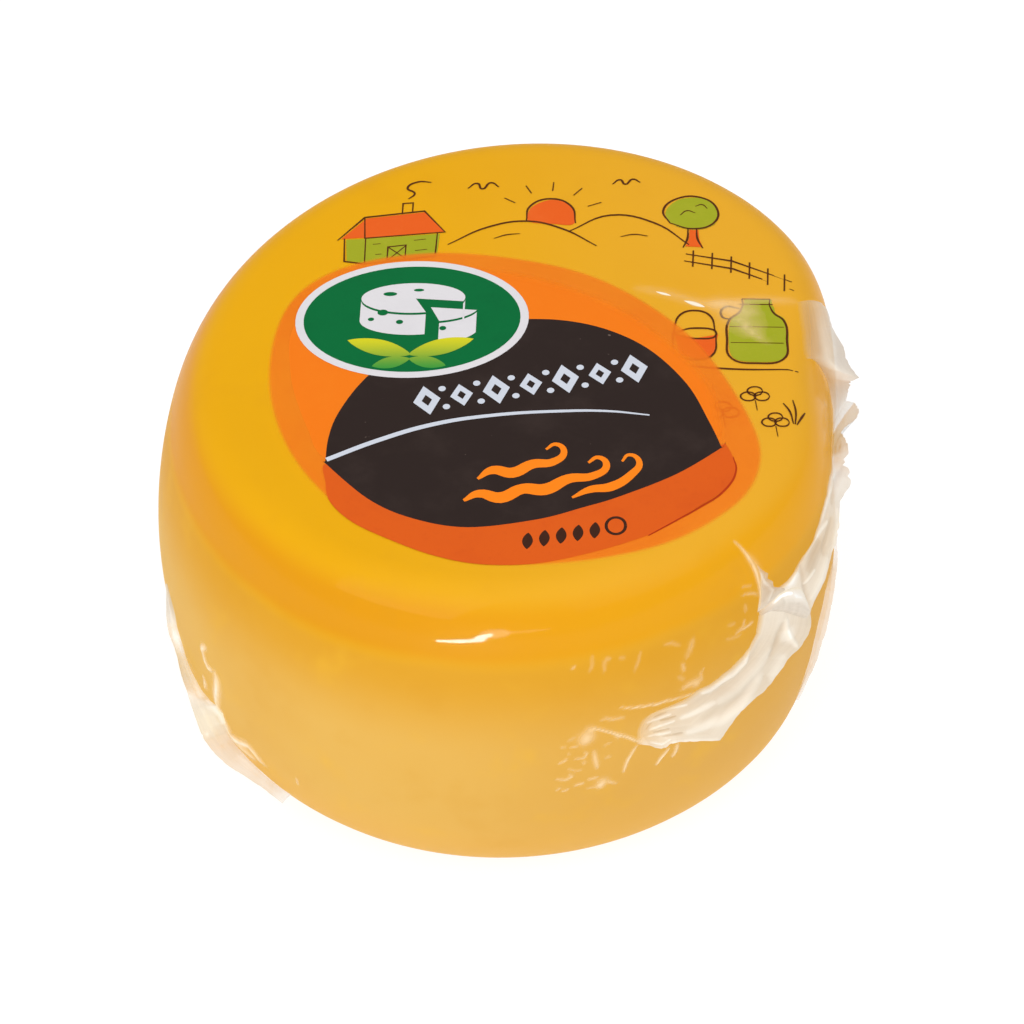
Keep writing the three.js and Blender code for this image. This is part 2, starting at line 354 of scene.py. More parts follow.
# angle round the wheel and the film's column there: the columns are closest where it creases
film_columns = [(-180, 0), (-156, 20), (-118, 110), (-84, 134), (-40, 300), (20, 370), (180, 440)]
film_creases = [
    # width and strength, then angle round the wheel and height of each point
    (0.24, 0.85, [(-72.3, 30.2), (-70.6, 29.7), (-68.9, 29.4), (-67.3, 29.2), (-66.1, 28.9),
                  (-64.9, 28.9), (-63.5, 28.7), (-62.1, 28.5), (-59.9, 28.3)]),
    (0.31, 0.50, [(-75.3, 29.0), (-74.4, 29.1), (-73.3, 28.7), (-71.3, 28.5)]),
    (0.26, 0.90, [(-76.4, 28.1), (-75.0, 27.5), (-73.4, 26.7), (-72.1, 26.0), (-70.7, 25.2),
                  (-69.4, 24.3), (-67.6, 23.2)]),
    (0.29, 0.40, [(-72.9, 26.4), (-72.2, 25.4)]),
    (0.28, 0.85, [(-69.2, 23.5), (-69.9, 22.6), (-70.5, 21.6), (-70.9, 20.5), (-71.1, 19.3)]),
    (0.32, 0.92, [(-63.5, 21.0), (-64.5, 20.1), (-65.1, 19.5), (-65.5, 18.7)]),
    (0.38, 0.75, [(-62.1, 21.1), (-62.3, 19.9), (-62.8, 19.0)]),
    (0.40, 0.60, [(-76.1, 24.5), (-75.9, 23.2), (-75.6, 22.0), (-75.4, 21.2)]),
    (0.24, 0.50, [(-81.3, 25.9), (-80.4, 25.8)]),
    (0.24, 0.50, [(-79.8, 25.7), (-78.6, 25.6)]),
    (0.26, 0.60, [(-81.5, 23.3), (-80.8, 23.5), (-80.2, 23.9)]),
    (0.26, 0.60, [(-79.1, 23.7), (-77.6, 23.6), (-77.2, 24.2), (-77.6, 24.6)]),
    (0.24, 0.40, [(-80.1, 22.2), (-79.0, 21.7), (-77.8, 21.4)]),
    (0.31, 0.60, [(-81.7, 20.6), (-80.2, 20.3), (-79.3, 20.7), (-79.8, 21.3)]),
    (0.31, 0.60, [(-78.9, 18.9), (-77.9, 19.1), (-77.3, 19.0)]),
    (0.29, 0.60, [(-76.9, 19.6), (-76.1, 19.6), (-75.2, 19.7)]),
    (0.26, 0.50, [(-81.6, 18.5), (-80.9, 19.0)]),
    (0.28, 0.60, [(-80.7, 18.2), (-79.6, 18.5)]),
    (0.24, 0.50, [(-76.9, 18.0), (-75.7, 18.0), (-74.4, 18.3)]),
    (0.24, 0.60, [(-73.6, 18.6), (-72.8, 18.0), (-71.9, 17.5)]),
    (0.24, 0.40, [(-74.7, 24.8), (-73.9, 25.1), (-73.4, 25.1)]),
    (0.28, 0.40, [(-74.3, 22.7), (-73.8, 22.9), (-73.3, 22.6)]),
    (0.35, 0.40, [(-77.7, 23.1), (-77.4, 22.4)]),
    (0.28, 0.40, [(-80.2, 24.6), (-79.8, 24.7)]),
    (0.28, 0.35, [(-80.2, 26.7), (-79.7, 26.9), (-79.1, 27.1)]),
    (0.24, 0.50, [(-79.9, 36.8), (-79.6, 37.0), (-79.3, 37.3)]),
    (0.28, 0.30, [(-76.6, 38.2), (-76.6, 36.9), (-77.1, 36.1)]),
    (0.31, 0.30, [(-74.2, 37.6), (-74.7, 36.8), (-74.7, 35.6)]),
    (0.28, 0.30, [(-68.7, 37.0), (-69.2, 35.8), (-69.9, 34.6)]),
    (0.35, 0.25, [(-72.3, 37.1), (-71.3, 36.7)]),
    (0.40, 0.30, [(-74.2, 37.2), (-73.6, 37.2)]),
    (0.28, 0.35, [(-64.9, 36.8), (-63.5, 36.6), (-61.9, 35.8)]),
    (0.53, 0.35, [(-59.6, 36.0), (-60.2, 34.8), (-61.0, 33.7)]),
    (0.35, 0.45, [(-61.7, 33.4), (-61.4, 32.0)]),
    (0.28, 0.40, [(-57.7, 31.2), (-58.5, 30.7), (-58.1, 29.5)]),
    (0.59, 0.50, [(-61.9, 29.6), (-60.3, 29.9), (-58.5, 29.9)]),
    (0.35, 0.35, [(-62.5, 31.7), (-61.4, 30.8)]),
    (0.31, 0.60, [(-51.5, 33.5), (-50.5, 33.6), (-49.2, 33.4), (-47.7, 33.4)]),
    (0.26, 0.45, [(-50.0, 33.8), (-49.5, 34.6)]),
    (0.22, 0.50, [(-49.8, 37.9), (-48.6, 37.6), (-47.2, 37.1), (-46.2, 36.4)]),
    (0.35, 0.30, [(-49.3, 36.5), (-49.0, 35.3)]),
    (0.28, 0.30, [(-53.4, 33.4), (-51.8, 33.0), (-50.3, 32.8)]),
    (0.28, 0.30, [(-53.0, 35.2), (-51.4, 34.8)]),
    (0.24, 0.85, [(-48.8, 43.8), (-48.0, 43.0), (-47.3, 41.9), (-46.7, 40.7), (-46.2, 39.4),
                  (-45.9, 37.8), (-45.8, 36.0), (-46.2, 34.6)]),
    (0.59, 0.35, [(-47.2, 42.0), (-46.1, 40.5), (-45.3, 38.6), (-44.8, 36.7)]),
    (0.20, 0.42, [(-49.6, 38.9), (-48.6, 38.6), (-47.4, 38.2)]),
    (0.60, 0.90, [(-144.1, 21.6), (-143.4, 22.7), (-142.5, 23.6)]),
    (0.60, 0.90, [(-143.5, 21.8), (-143.0, 20.6), (-142.2, 19.9), (-141.0, 20.5)]),
    (0.92, 0.95, [(-140.1, 20.8), (-139.7, 19.6), (-140.1, 17.6), (-140.9, 15.3),
                  (-141.3, 13.4), (-140.4, 12.0)]),
    (0.50, 0.85, [(-144.6, 16.5), (-144.2, 15.6), (-145.0, 13.6)]),
    (1.00, 0.92, [(-140.5, 12.3), (-140.0, 10.6), (-139.7, 8.4), (-137.4, 9.0)]),
    (0.95, 0.95, [(-140.5, 6.8), (-136.9, 9.0), (-134.2, 10.6), (-133.0, 10.1), (-131.7, 9.0),
                  (-130.7, 8.7)]),
    (0.26, 0.50, [(-123.4, 11.3), (-123.6, 9.5)]),
    (1.20, 0.80, [(-138.9, 7.1), (-135.8, 7.9), (-133.2, 8.3)]),
    (0.29, 0.35, [(-153.4, 12.9), (-151.1, 13.5), (-148.5, 13.8)]),
    (0.47, 0.30, [(-5.6, 40.6), (-1.5, 37.8)]),
]
film_bubbles = [
    # width and strength, then angle and height of the middle
    (0.94, 0.60, (-77.3, 26.9)), (0.59, 0.50, (-76.8, 27.9)), (0.71, 0.65, (-74.4, 18.6)),
    (0.47, 0.50, (-74.7, 17.8)), (0.71, 0.40, (-77.6, 26.2)), (0.59, 0.45, (-59.2, 29.4)),
]
lap_creases_and_glow = [
    # the same on the flat top, with x and y of each point: the film's lap line, and beside it a broad
    # pale glow that is painted reflection
    (0.90, 0.40, [(13.5, 10.0), (15.1, 9.6), (16.8, 9.1), (18.5, 8.4), (20.2, 7.7), (21.9, 7.2),
                  (25.4, 7.7), (27.7, 8.2), (30.0, 8.0), (31.9, 7.9)]),
    (1.60, 0.50, [(21.9, 7.2), (23.5, 7.0), (25.4, 6.5), (27.2, 6.0)]),
    (2.40, 0.42, [(23.3, 6.6), (24.8, 5.4), (26.2, 3.9), (27.4, 2.4)]),
    (0.60, 0.50, [(25.0, 4.9), (26.4, 2.9), (28.2, 1.1)]),
]

film_section = wheel_section(6, 8, 100, 56, 34)
outer_side = film_section[film_section[:, 0] >= top_radius - 1e-6]
outer_side = outer_side[np.argsort(outer_side[:, 1], kind="stable")]


def radius_at(height):
    """Radius of the section's side and shoulder at a height."""
    return np.interp(height, outer_side[:, 1], outer_side[:, 0])


def top_at(x, y):
    """Height of the wheel's top side above a point of the plan."""
    radius = np.hypot(x, y) / plan_factor(np.arctan2(y, x))
    upper = film_section[film_section[:, 1] > side_height - top_edge_down]
    upper = upper[np.argsort(upper[:, 0], kind="stable")]
    return np.interp(radius, upper[:, 0], upper[:, 1]) * (1 + top_lean * x / side_height)


def crease_weight(points, line, width, strength):
    """How strongly one crease, with thin ends, marks each point."""
    best, share_at = np.full(len(points), 9.0), np.zeros(len(points))
    near = np.all((points > line.min(0) - 4 * width) & (points < line.max(0) + 4 * width), axis=1)
    inside = points[near]
    spans = np.linalg.norm(np.diff(line, axis=0), axis=1)
    ends = np.concatenate([[0], np.cumsum(spans)]) / max(spans.sum(), 1e-9)
    found, share = np.full(len(inside), 9.0), np.zeros(len(inside))
    for index in range(len(line) - 1):
        a, b = line[index], line[index + 1]
        along = np.clip((inside - a) @ (b - a) / max((b - a) @ (b - a), 1e-12), 0, 1)
        gap = np.linalg.norm(inside - a - along[:, None] * (b - a), axis=1)
        share = np.where(gap < found, ends[index] + along * (ends[index + 1] - ends[index]), share)
        found = np.minimum(gap, found)
    best[near], share_at[near] = found, share
    taper = np.clip(4 * share_at * (1 - share_at), 0, 1) ** 0.35
    return strength * np.exp(-(best / (width * (0.45 + 0.35 * taper))) ** 2) * (0.35 + 0.65 * taper)


def add_attribute(mesh, name, values):
    """Stores one value at each point of a mesh, for its material to read."""
    attribute = mesh.attributes.new(name, "FLOAT", "POINT")
    attribute.data.foreach_set("value", np.ascontiguousarray(values, dtype=np.float32))


columns, rows = film_columns[-1][1], len(film_section) - 1
bpy.ops.object.select_all(action="DESELECT")
bpy.ops.mesh.primitive_grid_add(x_subdivisions=columns, y_subdivisions=rows, size=2)
film = bpy.context.active_object
film.name = "film"
points = get_points(film.data)
column = np.rint((points[:, 0] + 1) / 2 * columns)
row = np.rint((points[:, 1] + 1) / 2 * rows).astype(int)
angles = np.radians(np.interp(column, [c for _, c in film_columns], [a for a, _ in film_columns]))
edge_slope = np.gradient(film_section, axis=0)
out = np.stack([edge_slope[:, 1], -edge_slope[:, 0]], -1)
out /= np.linalg.norm(out, axis=1)[:, None]
skin = on_wheel(angles, film_section[row, 0], film_section[row, 1])
outwards = np.stack([out[row, 0] * np.cos(angles), out[row, 0] * np.sin(angles), out[row, 1]], -1)

clear = np.ones(len(skin))
for width, strength, line in film_creases:
    turn, level = np.radians([a for a, _ in line]), np.array([h for _, h in line]) / 1000
    clear *= 1 - crease_weight(skin, on_wheel(turn, radius_at(level), level), width / 1000, strength)
for width, strength, (turn, level) in film_bubbles:
    middle = on_wheel(np.radians([turn]), radius_at(np.array([level / 1000])), np.array([level / 1000]))
    gap = np.linalg.norm(skin - middle, axis=1)
    clear *= 1 - strength * np.exp(-(gap / (width / 1000)) ** 2)
milk = 1 - clear
lap_milk_and_glow = np.zeros(len(skin))
# the lap line and its painted reflection glow, both painted as milk
for width, strength, line in lap_creases_and_glow:
    line = np.array(line) / 1000
    line = np.column_stack([line, top_at(line[:, 0], line[:, 1])])
    lap_milk_and_glow = 1 - (1 - lap_milk_and_glow) * (1 - crease_weight(skin, line, width / 1000, strength))
relief = crease_height * milk + lap_height * lap_milk_and_glow
set_points(film.data, skin + outwards * (film_gap + relief)[:, None])
add_attribute(film.data, "milk", np.clip(milk + lap_milk_and_glow * 0.8, 0, 1))
bpy.ops.object.mode_set(mode="EDIT")
bpy.ops.mesh.select_all(action="SELECT")
bpy.ops.mesh.remove_doubles(threshold=1e-7)
bpy.ops.object.mode_set(mode="OBJECT")
bpy.ops.object.shade_smooth()


def stroke(paint, place, start, end, width):
    """A thin stroke on the top between two points of the plan, with pointed ends."""
    x, y, z = (paint.axis(place, name) for name in "XYZ")
    run = end[0] - start[0], end[1] - start[1]
    share = ((x - start[0]) * run[0] + (y - start[1]) * run[1]) / (run[0] ** 2 + run[1] ** 2)
    share = paint.maths("MAXIMUM", paint.maths("MINIMUM", share, 1), 0)
    across, along = x - start[0] - share * run[0], y - start[1] - share * run[1]
    gap = (across * across + along * along) ** 0.5 / (share * (1 - share) * 4 + 0.12)
    return (1 - gap.rise(0.3 * width, width)) * z.rise(0.040, 0.042)


clear_film, paint, place, shader = new_material("clear_film")
milk = paint.read("milk")
crinkle = paint.noise(place, 900, 3)
# painted highlights: two short white glints on the film's top, painted into its colour and alpha
glint = (stroke(paint, place, (0.01575, 0.0093), (0.01745, 0.00865), 0.00024)
         + stroke(paint, place, (0.0190, 0.0078), (0.0213, 0.0068), 0.00040)) * 0.85
film_colour = paint.mix(milk, colour(246, 196, 120), colour(255, 228, 180))
film_colour = paint.mix(milk.rise(0.78, 1.0), film_colour, colour(255, 244, 222))
feed(paint, shader, {
    "Base Color": paint.mix(glint, film_colour, colour(255, 248, 230)),
    "Alpha": 0.006 + milk * (crinkle.rise(0.2, 0.6) * 0.3 + 0.75) + glint,
    "Roughness": 0.28,
    "IOR": 1.85,
    "Normal": paint.bump(crinkle, 0.2, 0.0002),
})
film.data.materials.append(clear_film)
film.visible_shadow = film.visible_diffuse = False
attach(film, "root")
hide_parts("wrapped_cheese")

# --- The ears ------------------------------------------------------------------------------
# The bag's gathered seam stands off the wheel as thin, cloudy film. Heat has pleated it along its
# length and drawn it together in one place, and its cut edge is torn into small notches. The light and
# shade on the film are painted into its tone: highlights along crests, shade in valleys and where the
# film turns away from the lamps.
right_ear_rows = [
    # root's angle and reach down from the top's middle; free edge's angle, reach and stand-off,
    # in degrees and millimetres
    (13.9, 35.0, 18.3, 40.3, 0.00), (11.5, 35.2, 17.1, 40.7, 0.44), (8.8, 35.5, 15.2, 41.1, 0.65),
    (5.9, 36.0, 13.4, 41.5, 0.80), (3.3, 36.2, 10.8, 42.0, 1.51), (0.7, 36.5, 8.6, 42.4, 2.29),
    (-0.6, 36.9, 6.6, 42.8, 2.57), (0.7, 38.1, 4.1, 43.1, 3.26), (1.5, 39.6, 2.3, 43.8, 4.33),
    (2.6, 42.4, 1.4, 43.5, 3.39), (3.8, 45.8, 3.3, 45.4, 2.63), (4.4, 48.8, 4.3, 46.8, 2.30),
    (4.2, 51.0, 5.6, 48.7, 1.84), (3.2, 52.2, 6.3, 49.6, 2.78), (1.7, 52.4, 4.1, 48.7, 3.44),
    (0.0, 52.0, 1.4, 48.0, 3.83), (-1.6, 51.4, -1.0, 47.3, 3.53), (-3.0, 50.7, -3.1, 46.5, 3.05),
    (-4.3, 50.0, -3.4, 47.0, 1.98), (-5.7, 49.2, -5.4, 46.5, 1.50), (-7.3, 48.3, -7.7, 46.0, 2.04),
    (-9.7, 47.2, -10.9, 44.8, 2.31), (-12.0, 45.8, -12.6, 45.2, 2.31),
    (-13.8, 45.7, -14.3, 45.4, 1.88), (-15.8, 45.3, -16.1, 45.6, 2.49),
    (-18.8, 44.5, -17.3, 45.9, 2.61), (-21.2, 44.4, -18.5, 46.2, 2.38),
    (-22.5, 44.8, -19.7, 46.4, 1.83), (-24.1, 44.8, -20.8, 46.6, 1.42),
    (-25.5, 45.0, -22.1, 46.9, 1.42), (-26.9, 45.3, -23.5, 47.4, 1.47),
    (-28.1, 45.7, -24.7, 47.9, 1.65), (-29.5, 46.0, -25.8, 48.4, 1.72),
    (-30.9, 46.5, -27.2, 48.9, 1.77), (-32.8, 46.6, -28.3, 49.4, 1.53),
    (-34.8, 46.7, -29.4, 49.9, 1.56), (-36.4, 47.0, -30.4, 50.5, 1.61),
    (-38.0, 47.3, -31.6, 51.2, 1.62), (-39.4, 47.5, -32.7, 52.0, 1.48),
    (-41.0, 47.4, -34.0, 52.7, 1.32), (-43.0, 47.0, -35.1, 53.4, 1.27),
    (-44.7, 47.1, -35.8, 53.7, 1.46), (-45.9, 47.8, -36.5, 54.1, 1.83),
    (-46.5, 48.9, -37.3, 54.4, 2.20), (-46.9, 50.1, -38.3, 54.8, 2.41),
    (-47.3, 51.0, -39.5, 55.2, 2.41), (-48.2, 51.6, -40.5, 55.5, 2.41),
    (-49.1, 52.4, -41.7, 55.9, 2.10), (-50.2, 53.0, -42.8, 56.3, 1.93),
    (-51.5, 53.3, -43.8, 56.5, 2.13), (-52.7, 53.7, -45.1, 56.8, 2.26),
    (-54.1, 53.8, -45.7, 56.9, 2.25), (-55.4, 54.1, -47.1, 57.1, 2.52),
    (-56.8, 54.3, -48.8, 57.3, 2.70), (-58.1, 54.2, -50.2, 57.4, 2.73),
    (-59.2, 54.2, -51.6, 57.5, 2.71), (-60.3, 54.5, -52.7, 57.7, 2.75),
    (-61.4, 54.7, -54.0, 58.0, 2.92), (-62.6, 54.7, -55.1, 58.4, 3.10),
    (-63.8, 54.7, -56.1, 58.9, 3.31), (-65.0, 54.7, -57.5, 59.7, 3.57),
    (-66.0, 54.7, -60.5, 59.1, 2.81), (-67.1, 54.8, -63.6, 58.4, 2.36),
    (-67.9, 55.0, -64.8, 58.6, 1.96), (-68.5, 55.3, -65.4, 59.4, 1.73),
    (-69.0, 55.9, -66.8, 59.0, 1.52), (-69.3, 56.7, -67.8, 58.4, 1.33),
    (-69.4, 57.7, -68.8, 58.2, 1.12), (-69.5, 58.5, -69.6, 58.0, 0.99),
]
right_ear_folds = [
    # height, width and change of tone, then the row and the share of the way out of each point; the
    # change of tone paints light and shade along the fold: above 0 a painted highlight, below 0 painted
    # shade
    (0.0, 1.5, -0.8, [(0.5, 0.26), (3, 0.30), (5.5, 0.28)]),
    (0.12, 0.35, 0.5, [(19.3, 0.36), (22.4, 0.29), (24.8, 0.16), (26.9, 0.2), (29.2, 0.15),
                       (30.6, 0.11)]),
    (-0.25, 0.45, -0.7, [(22.6, 0.97), (24.1, 0.55), (25.4, 0.39), (27, 0.42), (28.5, 0.51)]),
    (0.1, 0.35, 0.5, [(20.2, 0.6), (22.7, 0.55)]),
    (0.14, 0.32, 0.8, [(30.5, 0.44), (32.2, 0.14), (34.9, 0.05)]),
    (-0.25, 0.5, -0.7, [(30, 0.63), (32.8, 0.54), (34.3, 0.68)]),
    (0.14, 0.4, 0.5, [(29, 0.82), (30.3, 1), (32.3, 0.92), (33.8, 0.97)]),
    (0.1, 0.9, -0.35, [(3.8, 1), (5.2, 0.87), (7.3, 0.64), (10.9, 0.53), (13, 0.3)]),
    (0.12, 0.3, 0.6, [(6, 0.02), (7.4, 0), (9.1, 0.02), (11.1, 0.03), (12.8, 0.08)]),
    (-0.3, 0.45, -0.6, [(35.6, 0.06), (36.7, 0.31), (37.8, 0.47), (38.9, 0.7), (39.7, 0.9)]),
    (0.15, 0.22, 1, [(36.1, 0.6), (37, 0.53), (37.9, 0.49)]),
    (0.3, 0.9, 0.8, [(36.5, 0.07), (38, 0.14), (39, 0.17)]),
    (-0.1, 1.1, -0.8, [(32.8, 0.36), (34.6, 0.35), (36.5, 0.44)]),
    (0.25, 0.8, 0.35, [(34.5, 0.81), (36.3, 0.84), (38, 0.86), (39.3, 0.9)]),
    (-0.3, 0.5, -0.55, [(43.1, 0.49), (44.6, 0.46), (46.2, 0.53), (47.7, 0.58)]),
    (0.35, 0.4, 0.7, [(42.5, 0.51), (43.5, 0.54), (44.7, 0.69), (45.9, 0.93)]),
    (0.15, 1, 0.7, [(43.7, 0.57), (45.1, 0.7)]),
    (0.1, 0.8, 0.5, [(47.3, 0.86), (49.4, 0.9), (51.5, 0.95)]),
    (0.3, 0.35, 0.9, [(44.9, 0), (46.7, 0.02), (49, 0.2), (51.1, 0.22), (52.2, 0.15), (54.3, 0.2),
                      (55.2, 0.13)]),
    (-0.25, 0.6, -0.12, [(45.8, 0.21), (48.8, 0.31), (51.6, 0.35), (53.4, 0.29), (55.9, 0.28)]),
    (0.2, 0.35, 0.8, [(56.1, 0.49), (57.9, 0.42), (59.2, 0.37), (60.1, 0.33)]),
    (0.3, 0.6, 0.6, [(50.7, 0.71), (53, 0.78), (55.8, 0.92), (58.1, 0.83), (59.6, 0.66), (61.1, 0.74)]),
    (-0.25, 0.7, -0.25, [(51.7, 0.7), (54.3, 0.77), (57.1, 0.71), (59.1, 0.58)]),
    (0.18, 0.6, 0.4, [(46.6, 0.5), (49.6, 0.53), (52.9, 0.55), (56.2, 0.54)]),
    (0.1, 0.25, 0.5, [(62.7, 0.97), (61.4, 0.96), (60.7, 0.99), (60, 0.96)]),
    (-0.14, 0.15, -1.5, [(61.9, 0.3), (61.1, 0.3), (60.1, 0.26)]),
    (-0.14, 0.15, -1.5, [(63.9, 0.48), (62.8, 0.57), (61.8, 0.57)]),
    (-0.12, 0.14, -1.3, [(62.2, 0.14), (61.2, 0.13), (60.4, 0.12)]),
    (-0.12, 0.14, -1.2, [(63.2, 0.72), (62.2, 0.76), (61.3, 0.73)]),
    (-0.10, 0.13, -1.1, [(64.6, 0.30), (63.8, 0.26), (63.1, 0.27)]),
    (0.12, 0.16, 0.9, [(63, 0), (61, 0.03), (59.3, 0.07), (57.8, 0.17)]),
    (0.12, 0.15, 0.9, [(64.2, 0.36), (62.4, 0.42), (60.8, 0.38)]),
    (0.12, 0.14, 0.9, [(65.0, 0.52), (63.4, 0.62), (61.9, 0.66)]),
    (0.12, 0.14, 0.9, [(63.8, 0.16), (62.6, 0.20), (61.5, 0.21), (60.2, 0.18)]),
    (0.12, 0.14, 0.8, [(65.4, 0.75), (64.0, 0.84), (62.6, 0.86)]),
]
right_ear_film = [
    # row, how opaque the film is at its root, middle and free edge, and its tone there: the tone is
    # painted light and shade, darker where the film is shaded and whiter where it catches light
    (0, .20, .50, .80, -.2, .40, .30), (3, .18, .68, .86, -.3, .62, .14),
    (6, .26, .76, .86, -.3, .70, .10), (8, .50, .90, .84, .0, .78, .20),
    (10, .80, .92, .84, .50, .55, .40), (12, .80, .84, .80, .60, .60, .60),
    (14, .84, .84, .82, .90, .90, .90), (17, .86, .84, .82, 1.05, 1.0, .90),
    (22, .72, .84, .86, .66, .70, .55), (25, .72, .86, .88, .66, .74, .58),
    (33, .80, .88, .88, .72, .55, .62), (36, .85, .90, .86, .80, .55, .68),
    (38, .88, .92, .88, .90, .60, .60), (41, .88, .92, .90, .90, .68, .55),
    (43, .85, .94, .92, .72, .58, .58), (46, .85, .95, .94, .62, .45, .50),
    (50, .82, .95, .95, .55, .42, .50), (56, .80, .95, .96, .55, .42, .52),
    (60, .65, .88, .94, .62, .52, .58), (62, .45, .76, .90, .70, .62, .68),
    (64, .30, .60, .84, .75, .70, .75), (67, .06, .30, .70, .80, .75, .80),
    (68, .0, .10, .45, .80, .80, .80),
]
right_ear_warmth = [
    # row and painted warmth: above 0 the cheese's orange is painted into the film as light shining
    # through it, below 0 the film is painted cooler against the orange light that bounces on to it from
    # the cheese
    (0, 0.05), (7, 0.0), (10, -0.20), (12, -0.32), (14, -0.58), (18, -0.65), (21, -0.48),
    (24, -0.30), (30, 0.04), (68, 0.06),
]
# row and depth of the notches in the cut edge
right_ear_tears = [(0, 0.05), (11, 0.06), (13, 0.09), (30, 0.10), (36, 0.05), (50, 0.05), (68, 0.04)]
collar_rows = [
    (-47.8, 47.2, -48.2, 47.3, 1.50), (-46.7, 47.3, -47.0, 47.5, 1.50),
    (-45.3, 47.3, -45.7, 47.9, 1.50), (-44.1, 47.2, -44.4, 48.6, 1.50),
    (-42.9, 47.1, -43.1, 49.3, 1.50), (-41.5, 47.3, -41.7, 50.3, 1.50),
    (-39.8, 47.9, -40.2, 51.4, 1.50), (-38.3, 48.6, -39.0, 52.3, 1.50),
    (-37.3, 49.4, -37.9, 53.1, 1.50), (-36.5, 50.9, -37.1, 53.7, 1.50),
    (-36.0, 52.3, -36.7, 53.9, 1.20),
]
collar_folds = [
    (0.12, 0.22, 1.5, [(2.5, 0.16), (3.2, 0.13), (4, 0.12), (5, 0.12), (5.8, 0.14)]),
    (0.05, 0.7, 0.8, [(4.5, 0.22), (6, 0.24), (7.5, 0.25)]),
    (0.05, 0.5, 0.4, [(6, 0.3), (8, 0.35), (9, 0.4)]),
    (-0.10, 0.30, -0.3, [(1, 0.9), (3, 0.95), (5, 0.97), (7, 0.97), (9, 0.97)]),
]
collar_film = [
    (0, .55, .60, .50, .40, .30, .30), (3, .92, .92, .80, .80, .45, .40),
    (8, .96, .95, .88, .92, .52, .46), (10, .70, .70, .60, .80, .50, .45),
]
web_rows = [
    (-45.7, 42.1, -45.5, 42.4, 0.30), (-45.6, 42.5, -45.1, 43.1, 0.45),
    (-45.4, 43.4, -43.9, 44.1, 0.45), (-45.3, 44.1, -44.3, 44.5, 0.45),
    (-45.5, 44.7, -43.2, 45.5, 0.45), (-45.6, 45.3, -43.1, 46.3, 0.45),
    (-45.7, 45.9, -40.4, 47.8, 0.45), (-46.0, 46.6, -40.7, 48.2, 0.45),
    (-46.3, 47.3, -42.4, 48.2, 0.45), (-46.7, 48.3, -44.8, 48.1, 0.45),
]
web_folds = [
    (0.10, 0.25, 0.6, [(2, 0.1), (4, 0.35), (6, 0.5), (8, 0.5)]),
    (0.06, 0.2, 0.5, [(4, 0.9), (6, 0.8)]),
]
web_film = [
    (0, .25, .30, .25, .3, .2, .2), (2, .66, .62, .56, .40, .20, .15),
    (6, .82, .78, .70, .45, .25, .20), (9, .86, .84, .80, .50, .40, .35),
]
loose_film_rows = [
    (-12.0, 57.0, -12.0, 56.8, 0.20), (-16.7, 57.0, -16.7, 56.9, 0.40),
    (-20.4, 56.3, -20.4, 56.2, 0.64), (-22.7, 56.2, -22.7, 56.0, 0.88),
    (-24.5, 56.6, -24.5, 56.3, 1.03), (-26.0, 57.2, -26.0, 56.8, 1.22),
    (-26.7, 58.3, -26.7, 57.8, 1.24), (-27.5, 59.3, -27.5, 58.8, 1.27),
    (-28.4, 60.3, -28.4, 59.7, 1.32), (-28.9, 61.7, -28.9, 61.1, 1.29),
    (-29.3, 63.1, -29.3, 62.5, 1.12), (-29.4, 64.7, -29.4, 64.2, 1.03),
    (-29.6, 66.4, -29.6, 65.8, 0.96), (-30.0, 67.8, -30.0, 67.2, 0.88),
    (-30.2, 69.5, -30.2, 69.1, 0.63), (-30.4, 71.4, -30.4, 71.0, 0.58),
    (-31.0, 72.8, -31.0, 72.4, 0.50),
]
loose_film_tone = [
    (0, .0, .0, .0, .9, 1, .9), (3, .70, .75, .62, 1, 1, .9), (5, .85, .86, .70, 1.2, 1.1, .8),
    (13, .85, .86, .66, 1.3, 1.1, .8), (16, .10, .30, .20, .9, 1, .8),
]
left_ear_rows = [
    (-126.3, 78.0, -126.3, 77.5, 0.61), (-126.9, 78.3, -126.9, 78.4, 1.52),
    (-128.2, 78.4, -128.2, 78.2, 1.47), (-130.7, 79.0, -129.2, 78.0, 1.46),
    (-132.1, 78.5, -130.9, 77.6, 1.51), (-133.6, 78.6, -132.6, 77.3, 1.69),
    (-135.1, 78.1, -134.2, 77.0, 1.91), (-136.6, 77.9, -135.5, 76.6, 2.19),
    (-138.4, 78.1, -137.1, 76.0, 2.54), (-139.2, 77.3, -138.5, 75.3, 2.77),
    (-140.2, 76.4, -139.9, 74.7, 2.86), (-140.5, 74.8, -141.2, 74.1, 2.88),
    (-139.6, 71.7, -142.5, 73.5, 2.78), (-139.8, 69.9, -144.1, 72.8, 2.43),
    (-141.4, 69.6, -145.6, 71.9, 2.14), (-144.8, 71.1, -147.0, 70.9, 1.91),
    (-148.0, 72.0, -148.1, 70.1, 1.77), (-149.8, 71.7, -149.3, 69.3, 1.60),
    (-152.0, 71.2, -150.4, 68.5, 1.46), (-153.3, 70.3, -151.8, 67.7, 1.18),
    (-153.3, 68.2, -152.9, 67.0, 1.14), (-153.9, 66.6, -154.3, 66.2, 1.19),
    (-154.9, 65.5, -155.6, 65.4, 1.15), (-155.0, 63.3, -157.1, 64.7, 0.86),
    (-156.3, 62.1, -158.7, 64.0, 0.49), (-157.8, 61.4, -160.5, 63.4, 0.15),
    (-159.0, 60.8, -161.7, 63.1, 0.00),
]
